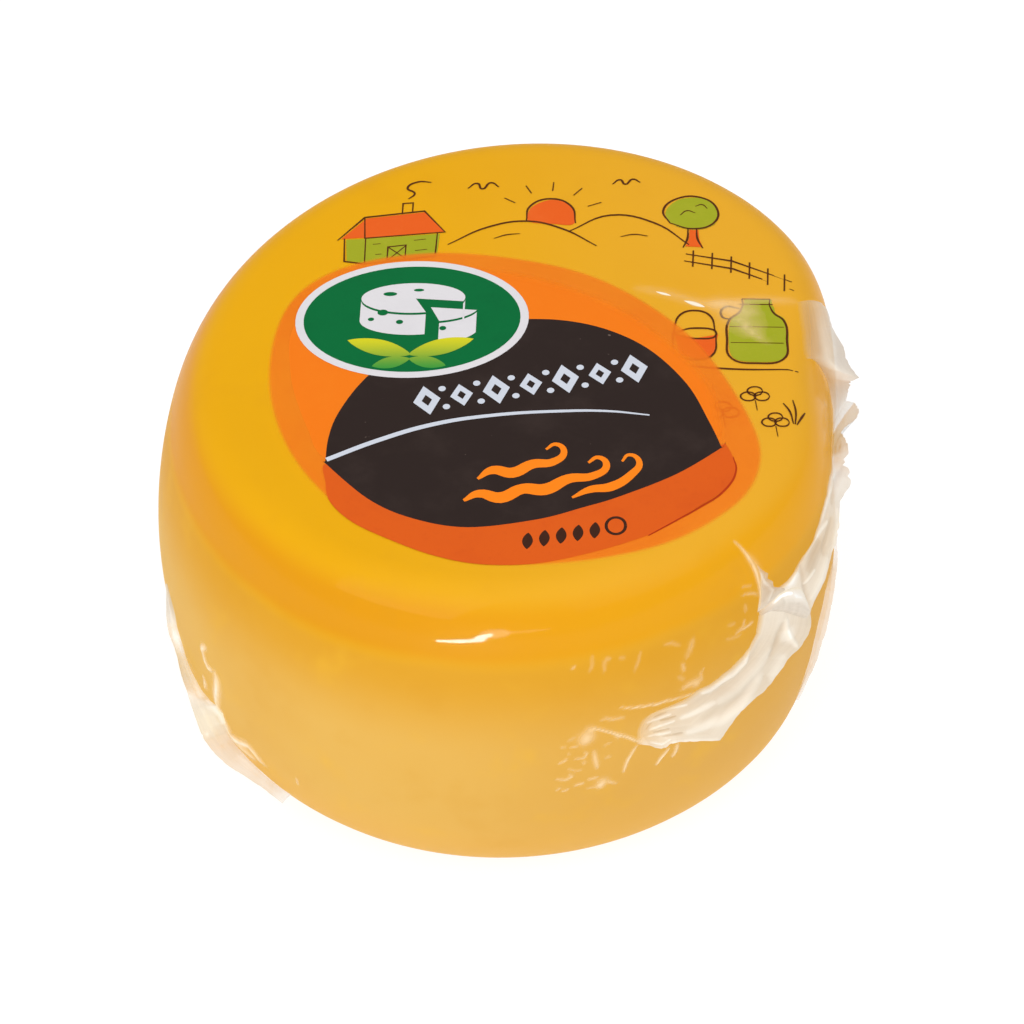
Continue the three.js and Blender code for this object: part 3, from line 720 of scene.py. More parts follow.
left_ear_folds = [
    (0.2, 0.7, 0.7, [(14.8, 0.19), (13.7, 0.22), (12.8, 0.1), (11.8, 0.05)]),
    (-0.08, 0.4, -0.15, [(14.3, 0.62), (13.2, 0.39), (12.1, 0.25), (10.8, 0.16)]),
    (0.18, 0.5, 0.4, [(18, 0.08), (15.9, 0.31), (13.5, 0.63), (11.8, 0.59), (9.6, 0.52)]),
    (0.05, 0.6, 0.15, [(8.1, 0.36), (5.7, 0.28), (3.2, 0.28)]),
    (0.1, 0.4, 0.5, [(25.2, 0.46), (23.2, 0.47), (21.3, 0.55), (19.5, 0.65)]),
]
left_ear_film = [
    (0, .60, .68, .68, 1.1, 1.1, 1.0), (8, .72, .74, .70, 1.1, 1.1, 1.0),
    (11, .92, .90, .86, .85, .60, .55), (14, .96, .94, .90, .85, .62, .55),
    (15.5, .97, .96, .92, 1.3, 1.2, .9), (20, .95, .94, .92, 1.5, 1.5, 1.2),
    (22, .80, .88, .90, .90, .80, .70), (24, .70, .85, .92, .20, .25, .35),
    (26, .30, .70, .85, .40, .50, .60),
]
left_ear_warmth = [
    (0, -0.45), (9, -0.30), (11, 0.22), (13, 0.28), (15, 0.0), (17, -0.50), (20, -0.50), (22, 0.05),
    (26, 0.12),
]
skin_line, skin_out = film_section[::-1], out[::-1]
skin_reach = np.concatenate([[0], np.cumsum(np.linalg.norm(np.diff(skin_line, axis=0), axis=1))])


def off_skin(angle, reach, off):
    """Points that stand off the wheel, by their reach down its section from the top's middle."""
    radius, height, out_sideways, out_upwards = (
        np.interp(reach, skin_reach, column) for column in (*skin_line.T, *skin_out.T))
    return on_wheel(np.radians(angle), radius + out_sideways * off, height + out_upwards * off)


pleat_height, ripple_height, fold_share = 0.07, 0.03, 0.65
notch_count, root_fade = 200, 0.12


def loose_film(name, edge_rows, folds, film_rows, along, across, seed, root_off=0.05, arch=0.0,
               tears=((0, 0.04),), pleats=1.0, root_cover=0.3, warmth_rows=((0, 0.08),)):
    """A strip of film between two edges, with its folds, pleats and torn free edge, and with light and
    shade painted into its tone.
    """
    edges, covering = np.array(edge_rows), np.array(film_rows)

    def on_strip(row, w, rise=0.0):
        """Points of the strip from their row and their share of the way out."""
        here = [np.interp(row, range(len(edges)), edges[:, field]) for field in range(5)]
        bow = arch * np.sin(math.pi * np.clip(w, 0, 1))
        off = root_off * (1 - w) + here[4] * w ** 1.25 + bow + rise
        return off_skin(here[0] + (here[2] - here[0]) * w,
                        (here[1] + (here[3] - here[1]) * w) / 1000, np.maximum(off, 0.04) / 1000)

    path = on_strip(np.arange(len(edges)), np.full(len(edges), 1.0))
    share = np.concatenate([[0], np.cumsum(np.linalg.norm(np.diff(path, axis=0), axis=1))])
    bpy.ops.object.select_all(action="DESELECT")
    bpy.ops.mesh.primitive_grid_add(x_subdivisions=along, y_subdivisions=across, size=2)
    strip = bpy.context.active_object
    strip.name = name
    points = get_points(strip.data)
    u, w = (points[:, 0] + 1) / 2, (points[:, 1] + 1) / 2
    row = np.interp(u * share[-1], share, range(len(edges)))
    pick = np.random.default_rng(seed)
    waves = [(pick.uniform(6, 60), pick.uniform(0, 6.28), pick.uniform(0.4, 1.0)) for _ in range(9)]

    def wobble(stretch, shift):
        """An uneven wave along the strip."""
        return sum(size * np.sin(rate * stretch * u + phase + shift * w)
                   for rate, phase, size in waves) / 5

    notch = np.interp(u, np.linspace(0, 1, notch_count), pick.exponential(1.0, notch_count))
    notch = notch + 0.5 * wobble(4.0, 0)
    width = 1000 * np.linalg.norm(on_strip(row, 0 * w + 1) - on_strip(row, 0 * w), axis=1)
    w = w * (1 - w * notch * np.interp(row, *np.transpose(tears)) / np.maximum(width, 0.6))
    ends = np.clip(12 * u * (1 - u), 0, 1) * np.clip(6 * w, 0, 1)
    thicker = np.zeros(len(points))
    rise = pleats * ends * (
        pleat_height * w * wobble(1.6, 2.0)
        + ripple_height * np.sin(6.28 * (2.6 * w + 0.35 * wobble(0.3, 1.5))))
    flat = on_strip(row, w)
    tone = np.zeros(len(points))
    for height, width, shade, line in folds:
        line = np.array(line)
        mark = crease_weight(flat, on_strip(line[:, 0], line[:, 1]), width / 1000, 1.0)
        rise, tone = rise + fold_share * height * mark, tone + shade * mark
        thicker = thicker + 0.35 * max(shade, 0) * mark
    set_points(strip.data, on_strip(row, w, rise))

    def spread(first):
        """What the film's table says at each point, from the column for the root on."""
        root, middle, free = (
            np.interp(row, covering[:, 0], covering[:, first + step]) for step in range(3))
        return np.where(w < 0.5, root + (middle - root) * 2 * w, middle + (free - middle) * (2 * w - 1))

    near_root = 1 - np.clip(w / root_fade, 0, 1)
    soft_root = 1 - (1 - root_cover) * near_root
    whole = spread(1) + 0.05 * wobble(0.8, 3.0) + thicker
    add_attribute(strip.data, "cover", np.clip(whole * soft_root, 0, 1))
    # painted light and shade: the tone from the table and the folds, which the material turns into
    # darker and lighter film
    light_and_shade = spread(4) + 0.50 * tone + 0.06 * wobble(1.1, 4.0)
    add_attribute(strip.data, "tone", np.clip(light_and_shade, -0.6, 1.5))
    # painted warmth, from the table and warmer near the root: above 0 the cheese's orange painted in as
    # light shining through the film, below 0 a painted cool against the orange light bounced from the
    # cheese
    add_attribute(strip.data, "painted_warmth", np.interp(row, *np.transpose(warmth_rows)) + 0.35 * near_root)
    bpy.ops.object.mode_set(mode="EDIT")
    bpy.ops.mesh.select_all(action="SELECT")
    bpy.ops.mesh.normals_make_consistent(inside=False)
    bpy.ops.object.mode_set(mode="OBJECT")
    bpy.ops.object.shade_smooth()
    strip.data.materials.append(cloudy_film)
    strip.visible_shadow = strip.visible_diffuse = False
    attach(strip, "root")
    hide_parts("wrapped_cheese")


cloudy_film, paint, place, shader = new_material("cloudy_film")
cover, tone, painted_warmth = (paint.read(name) for name in ("cover", "tone", "painted_warmth"))
strips = paint.node("ShaderNodeTexCoord", {}, {}, "UV")
strips = paint.node("ShaderNodeMapping", {}, {"Vector": strips, "Scale": (4, 9, 1)})
streak = paint.noise(strips, 1.2, 4, 0.6)
crumple = paint.noise(place, 420, 3)
# The tone paints light and shade: under 0 the film is painted in shade, towards 1 it is painted lit,
# and above 1 it is painted white as a highlight.
bright = tone + (streak - 0.5) * 0.25
film_colour = paint.mix(bright.rise(0, 1), colour(204, 186, 164), colour(245, 235, 219))
film_colour = paint.mix((0 - bright).rise(0, 0.6), film_colour, colour(166, 140, 122))
film_colour = paint.mix((bright - 0.95).rise(0, 0.4), film_colour, colour(254, 250, 243))
# painted warmth: above 0 the cheese's orange is mixed in as painted light through the film; below 0
# cool_share mixes in a painted cool that cancels the orange bounce light
film_colour = paint.mix(painted_warmth, film_colour, colour(250, 222, 150))
cool_share, glow_share = (0 - painted_warmth).rise(0, 1), (bright - 0.98).rise(0, 0.55)
feed(paint, shader, {
    "Base Color": paint.mix(cool_share, film_colour, colour(226, 241, 255)),
    "Alpha": cover + (streak - 0.5) * 0.12,
    # painted glow: the whitest film emits a little cool light, standing in for light passing through it
    "Emission Color": paint.mix(glow_share, colour(0, 0, 0), colour(205, 228, 250)),
    "Emission Strength": 0.28,
    "Roughness": 0.34,
    "Normal": paint.bump(streak + crumple * 0.4, 0.2, 0.0002),
})
loose_film("right_ear", right_ear_rows, right_ear_folds, right_ear_film, 760, 48, 3,
           tears=right_ear_tears, warmth_rows=right_ear_warmth)
loose_film("right_ear_collar", collar_rows, collar_folds, collar_film, 120, 28, 4,
           root_off=1.0, arch=0.55, tears=((0, 0.0),), pleats=0.4, root_cover=0.8, warmth_rows=((0, -0.05),))
loose_film("right_ear_web", web_rows, web_folds, web_film, 110, 24, 6, tears=((0, 0.06),), pleats=0.5,
           root_cover=0.9, warmth_rows=((0, 0.0),))
loose_film("right_loose_film", loose_film_rows, [], loose_film_tone, 160, 10, 9, tears=((0, 0.02),),
           root_cover=1.0, warmth_rows=((0, -0.12),))
loose_film("left_ear", left_ear_rows, left_ear_folds, left_ear_film, 360, 36, 5,
           tears=((0, 0.02),), pleats=0.6, root_cover=0.95, warmth_rows=left_ear_warmth)

# --- The printed label ----------------------------------------------------------------------
# The film is printed over the top with a rounded field of see-through orange, and on it a deep
# orange band and a brown-black lens. Each field is a thin layer of ink that follows the top.
label_outline = [
    (27.5, -17.6), (24.2, -24.6), (14.8, -30.9), (0.2, -33.1), (-13.6, -29.0), (-23.4, -19.0),
    (-28.0, -6.6), (-27.4, 6.2), (-22.0, 13.4), (-11.6, 16.4), (0.0, 15.2), (10.2, 11.2),
    (19.8, 2.3), (25.8, -9.2),
]
inner_outline = [
    (-25.9, 3.0), (-25.7, -2.4), (-24.9, -6.8), (-23.0, -12.5), (-20.8, -17.0), (-14.0, -20.0),
    (0.0, -20.0), (14.0, -18.0), (22.6, -15.4), (23.4, -11.0), (22.0, -5.0), (17.5, 1.6),
    (10.6, 8.0), (1.0, 12.6), (-9.0, 14.2), (-18.0, 12.6), (-23.6, 8.6),
]
lens_outline = [
    (-20.75, -17.75), (-20.7, -17.4), (-20.6, -14.0), (-19.8, -10.3), (-17.6, -5.6), (-14.6, -1.8),
    (-9.6, 2.2), (-4.6, 4.2), (-0.5, 4.7), (5.1, 4.5), (10.3, 2.9), (15.1, -0.4), (19.2, -5.8),
    (21.6, -11.6), (22.85, -15.3), (22.8, -15.75), (17.9, -19.7), (11.8, -23.0), (7.9, -24.6),
    (2.8, -26.4), (-4.7, -27.5), (-10.8, -26.1), (-15.7, -23.2),
]
band_outline = [
    (-20.6, -17.9), (-20.5, -20.6), (-19.8, -23.6), (-17.2, -26.6), (-13.0, -29.2), (-8.2, -31.5),
    (-3.1, -32.8), (2.9, -32.7), (8.9, -31.1), (14.9, -28.6), (17.9, -26.4), (23.1, -22.0),
    (24.5, -19.6), (24.1, -16.8), (23.35, -15.0), (23.15, -15.1), (20.0, -16.0), (10.0, -20.0),
    (-4.0, -24.0), (-16.0, -20.0),
]


def flow(outline, steps):
    """A smooth closed line through the points of an outline, in metres."""
    points = np.array(outline, float) / 1000
    line = []
    for index in range(len(points)):
        a, b, c, d = (points[(index + shift) % len(points)] for shift in (-1, 0, 1, 2))
        for step in range(steps):
            t = step / steps
            line.append(0.5 * (2 * b + (c - a) * t + (2 * a - 5 * b + 4 * c - d) * t * t
                               + (3 * b - a - 3 * c + d) * t ** 3))
    return np.array(line)


def finish_print(piece, material, lift, node="label"):
    """Lays flat ink on the wheel's top, gives it its material, hangs it on the wheel's body and hides
    the part of the model that it stands for.
    """
    points = get_points(piece.data)
    points[:, 2] = top_at(points[:, 0], points[:, 1]) + lift
    set_points(piece.data, points)
    bpy.ops.object.shade_smooth()
    piece.data.materials.append(material)
    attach(piece, "root")
    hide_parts(node)
    return piece


ink_cell = 0.0025


def ink_field(name, line, material, lift, soft_edge=None, node="label"):
    """A field of ink inside an outline, cut into cells so that it can follow the top."""
    bpy.ops.object.select_all(action="DESELECT")
    bpy.ops.mesh.primitive_circle_add(vertices=len(line), radius=0.01, fill_type="NGON")
    field = bpy.context.active_object
    field.name = name
    if sum(a[0] * b[1] - b[0] * a[1] for a, b in zip(line, np.roll(line, -1, 0))) < 0:
        line = line[::-1]
    set_points(field.data, np.column_stack([line, np.zeros(len(line))]))
    bpy.ops.object.mode_set(mode="EDIT")
    bpy.ops.mesh.select_all(action="SELECT")
    if soft_edge:
        bpy.ops.mesh.inset(thickness=soft_edge)
    low, high = line.min(0), line.max(0)
    for axis in (0, 1):
        cuts = max(int((high[axis] - low[axis]) / ink_cell), 1)
        for cut in range(1, cuts):
            where, across = [0, 0, 0], [0, 0, 0]
            where[axis] = low[axis] + (high[axis] - low[axis]) * cut / cuts
            across[axis] = 1
            bpy.ops.mesh.select_all(action="SELECT")
            bpy.ops.mesh.bisect(plane_co=where, plane_no=across)
    bpy.ops.object.mode_set(mode="OBJECT")
    if soft_edge:
        points = get_points(field.data)[:, :2]
        gap = np.full(len(points), 1.0)
        for a, b in zip(line, np.roll(line, -1, 0)):
            along = np.clip((points - a) @ (b - a) / max((b - a) @ (b - a), 1e-14), 0, 1)
            gap = np.minimum(gap, np.linalg.norm(points - a - along[:, None] * (b - a), axis=1))
        add_attribute(field.data, "inside", np.clip(gap / soft_edge, 0, 1))
    return finish_print(field, material, lift, node)


def plain_ink(name):
    """Printed ink under gloss, without a colour yet: also gives the press's cloudy mottle."""
    material, paint, place, shader = new_material(name)
    cloud = paint.noise(place, 150, 4, 0.6)
    feed(paint, shader, {
        "Roughness": 0.28 + cloud * 0.1,
        "Specular IOR Level": 0.08,
        "Normal": paint.bump(cloud, 0.08, 0.0004),
    })
    return material, paint, place, shader, cloud


def ink_material(name, tone, speckle_tone, speckle):
    """Printed ink with an even tone and a fine mottle from the press."""
    material, paint, place, shader, cloud = plain_ink(name)
    grain = paint.noise(place, 1500, 2)
    share = cloud.rise(0.45, 0.8) * speckle + grain.rise(0.55, 0.8) * (speckle * 0.5)
    feed(paint, shader, {"Base Color": paint.mix(share, tone, speckle_tone)})
    return material, paint, place, shader


orange_veil, paint, place, shader, cloud = plain_ink("orange_veil")
press_cloud = paint.noise(place, 70, 3)
feed(paint, shader, {
    "Base Color": paint.mix(press_cloud.rise(0.3, 0.7), colour(234, 111, 23), colour(236, 122, 26)),
    "Alpha": paint.read("inside").rise(0, 1) * 0.86,
})
bright_orange, paint, place, shader = ink_material(
    "bright_orange", colour(242, 122, 20), colour(244, 130, 26), 0.4)
sharp_left = 1 - paint.axis(place, "X").rise(-0.020, -0.012)
feed(paint, shader, {
    "Alpha": paint.read("inside").rise(0, 0.9) * (1 - sharp_left) + sharp_left})
deep_orange, *_ = ink_material("deep_orange", colour(219, 92, 24), colour(206, 80, 24), 0.5)
brown_black, paint, place, shader, cloud = plain_ink("brown_black")
dust = paint.noise(place, 1100, 1).rise(0.80, 0.84) * 0.35
mottled_black = paint.mix(cloud.rise(0.45, 0.8) * 0.6, colour(45, 34, 31), colour(60, 48, 44))
feed(paint, shader, {"Base Color": paint.mix(dust, mottled_black, colour(170, 150, 138))})
veil_lift, bright_lift, band_lift, lens_lift = 0.00006, 0.00007, 0.00008, 0.00009
veil_field = ink_field("print_veil", flow(label_outline, 12), orange_veil, veil_lift,
                       soft_edge=0.0007)
bright_field = ink_field(
    "print_bright", flow(inner_outline, 8), bright_orange, bright_lift, soft_edge=0.0018)
for field in (veil_field, bright_field):
    field.visible_shadow = field.visible_diffuse = False
ink_field("print_band", flow(band_outline, 8), deep_orange, band_lift)
ink_field("print_lens", flow(lens_outline, 8), brown_black, lens_lift)


def ink_strokes(name, strokes, material, lift, smooth=True, node="label"):
    """Strokes of ink as flat ribbons: each stroke is a list of x, y and width in millimetres."""
    curve = bpy.data.curves.new(name, "CURVE")
    curve.dimensions, curve.twist_mode = "3D", "Z_UP"
    curve.extrude, curve.resolution_u = 0.0005, 6
    for stroke in strokes:
        spline = curve.splines.new("BEZIER")
        spline.bezier_points.add(len(stroke) - 1)
        for point, (x, y, width) in zip(spline.bezier_points, stroke):
            point.co = (x / 1000, y / 1000, 0)
            point.handle_left_type = point.handle_right_type = "AUTO" if smooth else "VECTOR"
            point.tilt, point.radius = math.pi / 2, width
    ribbons = bpy.data.objects.new(name, curve)
    bpy.context.scene.collection.objects.link(ribbons)
    bpy.ops.object.select_all(action="DESELECT")
    ribbons.select_set(True)
    bpy.context.view_layer.objects.active = ribbons
    bpy.ops.object.convert(target="MESH")
    return finish_print(bpy.context.active_object, material, lift, node)


arc_line = [(-20.6, -17.3, 0.62), (-15.2, -14.5, 0.62), (-9.2, -12.1, 0.6), (-3.1, -10.8, 0.5),
            (5.1, -10.1, 0.42), (10.4, -10.1, 0.32), (15.0, -10.7, 0.2)]
band_edge = [(24.2, -17.0, 0.10), (24.5, -19.0, 0.20), (23.2, -22.0, 0.26), (20.4, -24.6, 0.24),
             (17.9, -26.5, 0.2), (14.9, -28.7, 0.14)]
cool_white, *_ = ink_material("cool_white", colour(206, 211, 222), colour(190, 196, 208), 0.3)
on_lens_lift, band_edge_lift = 0.00010, 0.000085
ink_strokes("print_arc", [arc_line], cool_white, on_lens_lift)
dark_orange, *_ = ink_material("dark_orange", colour(176, 52, 12), colour(196, 66, 16), 0.5)
ink_strokes("print_band_edge", [band_edge], dark_orange, band_edge_lift)

# --- The badge and the trimmings on the lens --------------------------------------------------
# A green oval with a pale rim holds a cut wheel of cheese over two leaves. On the lens stand a
# row of pale lozenges, three drifts of orange smoke, and a row of small seeds in the band.
badge_middle, badge_half_width, badge_half_height, badge_rim = (-12.2, 5.0), 13.4, 9.7, 0.95


def oval(middle, half_width, half_height, steps, start=0, end=360):
    """Points of an oval, or of a part of it, in millimetres."""
    points = []
    for step in range(steps):
        at = math.radians(start + (end - start) * step / (steps if end - start == 360 else steps - 1))
        points.append((middle[0] + half_width * math.cos(at),
                       middle[1] + half_height * math.sin(at)))
    return points


def leaf(base, tip, width, steps=14):
    """An almond from a base to a tip."""
    base, tip = np.array(base), np.array(tip)
    side = np.array([base[1] - tip[1], tip[0] - base[0]]) / np.linalg.norm(tip - base) * width / 2
    shares = [step / steps for step in range(steps + 1)]
    there = [base + (tip - base) * s + side * math.sin(math.pi * s) ** 0.8 for s in shares]
    back = [base + (tip - base) * s - side * math.sin(math.pi * s) ** 0.8 for s in shares[-2:0:-1]]
    return [tuple(point) for point in there + back]


def ink_fields(name, outlines, material, lift, node="label"):
    """Several fields of one ink, joined into one piece."""
    made = [ink_field(f"{name}_{index}", np.array(outline) / 1000, material, lift, node=node)
            for index, outline in enumerate(outlines)]
    bpy.ops.object.select_all(action="DESELECT")
    for field in made:
        field.select_set(True)
    bpy.context.view_layer.objects.active = made[0]
    bpy.ops.object.join()
    made[0].name = name


pale_rim, *_ = ink_material("pale_rim", colour(222, 219, 222), colour(208, 204, 208), 0.3)
badge_green, *_ = ink_material("badge_green", colour(0, 106, 54), colour(0, 92, 48), 0.5)
leaf_green, paint, place, shader, cloud = plain_ink("leaf_green")
feed(paint, shader, {"Base Color": paint.mix(
    paint.axis(place, "Y").rise(-0.0035, 0.003), colour(60, 150, 60), colour(226, 214, 30))})
rim_lift, green_lift, motif_lift, hole_lift = 0.00010, 0.00011, 0.00012, 0.00013
ink_fields("badge_rim", [oval(badge_middle, badge_half_width, badge_half_height, 72)],
           pale_rim, rim_lift)
ink_fields("badge_field", [oval(badge_middle, badge_half_width - badge_rim,
                                badge_half_height - badge_rim, 72)], badge_green, green_lift)

wheel_x, wheel_y, wheel_wide, wheel_deep, wheel_tall = -12.2, 8.4, 6.0, 2.5, 3.3
cut_from, cut_to, rim_gap = -75, -15, 0.35
top_face = [(wheel_x + 0.3, wheel_y - 0.1)] + oval(
    (wheel_x, wheel_y), wheel_wide, wheel_deep, 40, cut_to, 360 + cut_from)
near_edge = oval((wheel_x, wheel_y - rim_gap), wheel_wide, wheel_deep, 22, 180, 360 + cut_from)
side_face = near_edge + [(x, y - wheel_tall) for x, y in reversed(near_edge)]
right_edge = oval((wheel_x, wheel_y - rim_gap), wheel_wide, wheel_deep, 6, cut_to, 0)
end_face = right_edge + [(x, y - wheel_tall) for x, y in reversed(right_edge)]
wedge_shift = (1.6, -1.5)
wedge_top = [(wheel_x + 0.5 + wedge_shift[0], wheel_y - 0.1 + wedge_shift[1])] + [
    (x + wedge_shift[0], y + wedge_shift[1])
    for x, y in oval((wheel_x, wheel_y), wheel_wide, wheel_deep, 12, cut_from, cut_to)]
wedge_edge = [(x, y - rim_gap) for x, y in wedge_top[1:]]
wedge_side = wedge_edge + [(x, y - wheel_tall) for x, y in reversed(wedge_edge)]
ink_fields("badge_wheel", [top_face, side_face, end_face, wedge_top, wedge_side], pale_rim,
           motif_lift)
ink_fields("badge_holes", [
    oval((-15.6, 6.0), 0.62, 0.5, 16), oval((-13.6, 4.4), 0.42, 0.36, 14),
    oval((-16.9, 4.9), 0.36, 0.3, 14), oval((-14.9, 9.1), 0.8, 0.34, 16),
    oval((-11.6, 9.7), 0.6, 0.24, 16), oval((-8.6, 3.3), 0.4, 0.36, 14)], badge_green, hole_lift)
ink_fields("badge_leaves", [
    leaf((-12.0, -1.0), (-19.4, 1.5), 2.5), leaf((-12.4, -1.0), (-5.0, 1.5), 2.5),
    leaf((-12.1, -1.6), (-16.4, -2.8), 1.8), leaf((-12.3, -1.6), (-8.0, -2.8), 1.8)],
    leaf_green, hole_lift)

row_start, row_step, row_rise = np.array((-9.9, -8.3)), 3.95, math.radians(12)
row_along = np.array((math.cos(row_rise), math.sin(row_rise)))
row_up = np.array((-math.sin(row_rise), math.cos(row_rise)))
lozenges, hearts, dots = [], [], []
lozenge_count, heart_share = 7, 0.38
for step in range(lozenge_count):
    middle = row_start + row_along * row_step * step
    tall, wide = (2.3, 1.55) if step % 2 == 0 else (1.75, 1.3)
    corners = ((wide, 0), (0, tall), (-wide, 0), (0, -tall))
    lozenges.append([tuple(middle + row_along * a + row_up * b) for a, b in corners])
    hearts.append([tuple(middle + row_along * a * heart_share + row_up * b * heart_share)
                   for a, b in corners])
    if step < lozenge_count - 1:
        between = middle + row_along * row_step / 2
        dots += [oval(tuple(between + row_up * shift), 0.42, 0.42, 14) for shift in (-1.45, 1.45)]
ink_fields("print_lozenges", lozenges + dots, cool_white, on_lens_lift)
ink_fields("print_lozenge_hearts", hearts, brown_black, green_lift)

smoke_orange, *_ = ink_material("smoke_orange", colour(252, 132, 22), colour(250, 146, 40), 0.3)
curls = [
    [(-5.2, -23.6, 0.41), (-3.6, -22.6, 1.15), (-1.2, -23.2, 1.62), (1.2, -21.9, 1.49),
     (3.6, -22.0, 1.69), (6.2, -20.4, 1.35), (8.8, -20.0, 1.08), (10.3, -18.5, 0.81),
     (9.4, -17.2, 0.57), (8.3, -18.0, 0.34)],
    [(-3.8, -20.4, 0.34), (-2.2, -19.1, 1.22), (0.0, -19.5, 1.55), (2.2, -18.2, 1.35),
     (4.4, -17.9, 1.08), (5.6, -16.4, 0.74), (4.7, -15.2, 0.54), (3.6, -16.0, 0.30)],
    [(6.6, -23.2, 0.30), (8.6, -22.0, 1.01), (10.8, -21.6, 1.28), (13.0, -19.8, 1.01),
     (13.9, -17.9, 0.68), (12.8, -16.8, 0.46), (12.0, -17.8, 0.27)],
]
ink_strokes("print_smoke", curls, smoke_orange, on_lens_lift)

seed_brown, *_ = ink_material("seed_brown", colour(62, 34, 22), colour(84, 48, 30), 0.5)
seed_start, seed_step, seed_size, seed_slant = np.array((1.9, -29.5)), 1.85, 1.15, 0.3
seeds = []
for step in range(5):
    middle = seed_start + row_along * seed_step * step
    seeds.append(leaf(tuple(middle - row_up * seed_size - row_along * seed_slant),
                      tuple(middle + row_up * seed_size + row_along * seed_slant), seed_size))
ink_fields("print_seeds", seeds, seed_brown, lens_lift)
ring_end, ring_width = 359.9, 0.34
ring = [(x, y, ring_width) for x, y in oval((11.4, -27.3), 1.05, 1.2, 13, 0, ring_end)]
ink_strokes("print_ring", [ring], seed_brown, lens_lift)

# --- The drawing round the label --------------------------------------------------------------
# Round the label's far and right side the film carries a sketched farmyard: fine dark brown
# lines, with some shapes filled a little beside their lines in olive green and orange red.
olive, *_ = ink_material("olive_ink", colour(160, 166, 34), colour(178, 176, 52), 0.5)
warm_red, *_ = ink_material("warm_red_ink", colour(232, 96, 28), colour(236, 112, 44), 0.4)
line_brown, *_ = ink_material("line_brown", colour(84, 42, 14), colour(112, 62, 22), 0.5)
pen, thin_pen = 0.27, 0.2
fill_lift, line_lift = 0.000048, 0.000054


def pen_line(*points, width=pen):
    """A drawn line through points, in millimetres, thinner at its two ends."""
    return [(x, y, width * (0.55 if index in (0, len(points) - 1) else 1.0))
            for index, (x, y) in enumerate(points)]


straight_lines = [
    # barn: roof, walls, door, planks, chimney
    pen_line((-21.6, 18.6), (-18.6, 22.6), (-11.6, 23.6), (-9.0, 19.8), (-18.4, 18.9), (-18.6, 22.4)),
    pen_line((-20.8, 18.9), (-20.6, 14.9), (-18.2, 14.4), (-18.3, 18.8)),
    pen_line((-18.2, 14.4), (-10.0, 15.6), (-9.9, 19.6)),
    pen_line((-15.6, 14.9), (-15.6, 17.3), (-13.5, 17.6), (-13.5, 15.2)),
    pen_line((-15.5, 15.0), (-13.5, 17.5)), pen_line((-15.5, 17.2), (-13.5, 15.3)),
    pen_line((-17.0, 16.0), (-16.3, 16.1), width=thin_pen),
    pen_line((-12.6, 18.4), (-11.2, 18.6), width=thin_pen),
    pen_line((-12.4, 16.6), (-11.0, 16.8), width=thin_pen),
    pen_line((-17.4, 17.8), (-16.5, 17.9), width=thin_pen),
    pen_line((-14.2, 23.3), (-14.2, 25.0), (-13.0, 25.1), (-13.0, 23.4)),
    # fence
    pen_line((19.2, 15.8), (24.6, 14.6), (31.4, 11.2)),
    pen_line((19.0, 14.6), (24.6, 13.3), (31.6, 9.8)),
    *(pen_line((x, y - 1.9), (x + 0.1, y + 0.9), width=0.34) for x, y in (
        (20.0, 15.5), (22.2, 15.1), (24.4, 14.5), (26.5, 13.5), (28.6, 12.5), (30.5, 11.5))),
    # churn: lid, neck, hoops
    pen_line((25.3, 7.3), (29.1, 7.3)), pen_line((25.6, 8.2), (28.8, 8.2)),
    pen_line((25.6, 8.2), (25.7, 7.3)), pen_line((28.8, 8.2), (28.7, 7.3)),
    pen_line((24.2, 1.0), (30.2, 1.0), width=thin_pen),
    pen_line((24.1, 3.6), (30.3, 3.6), width=thin_pen),
]
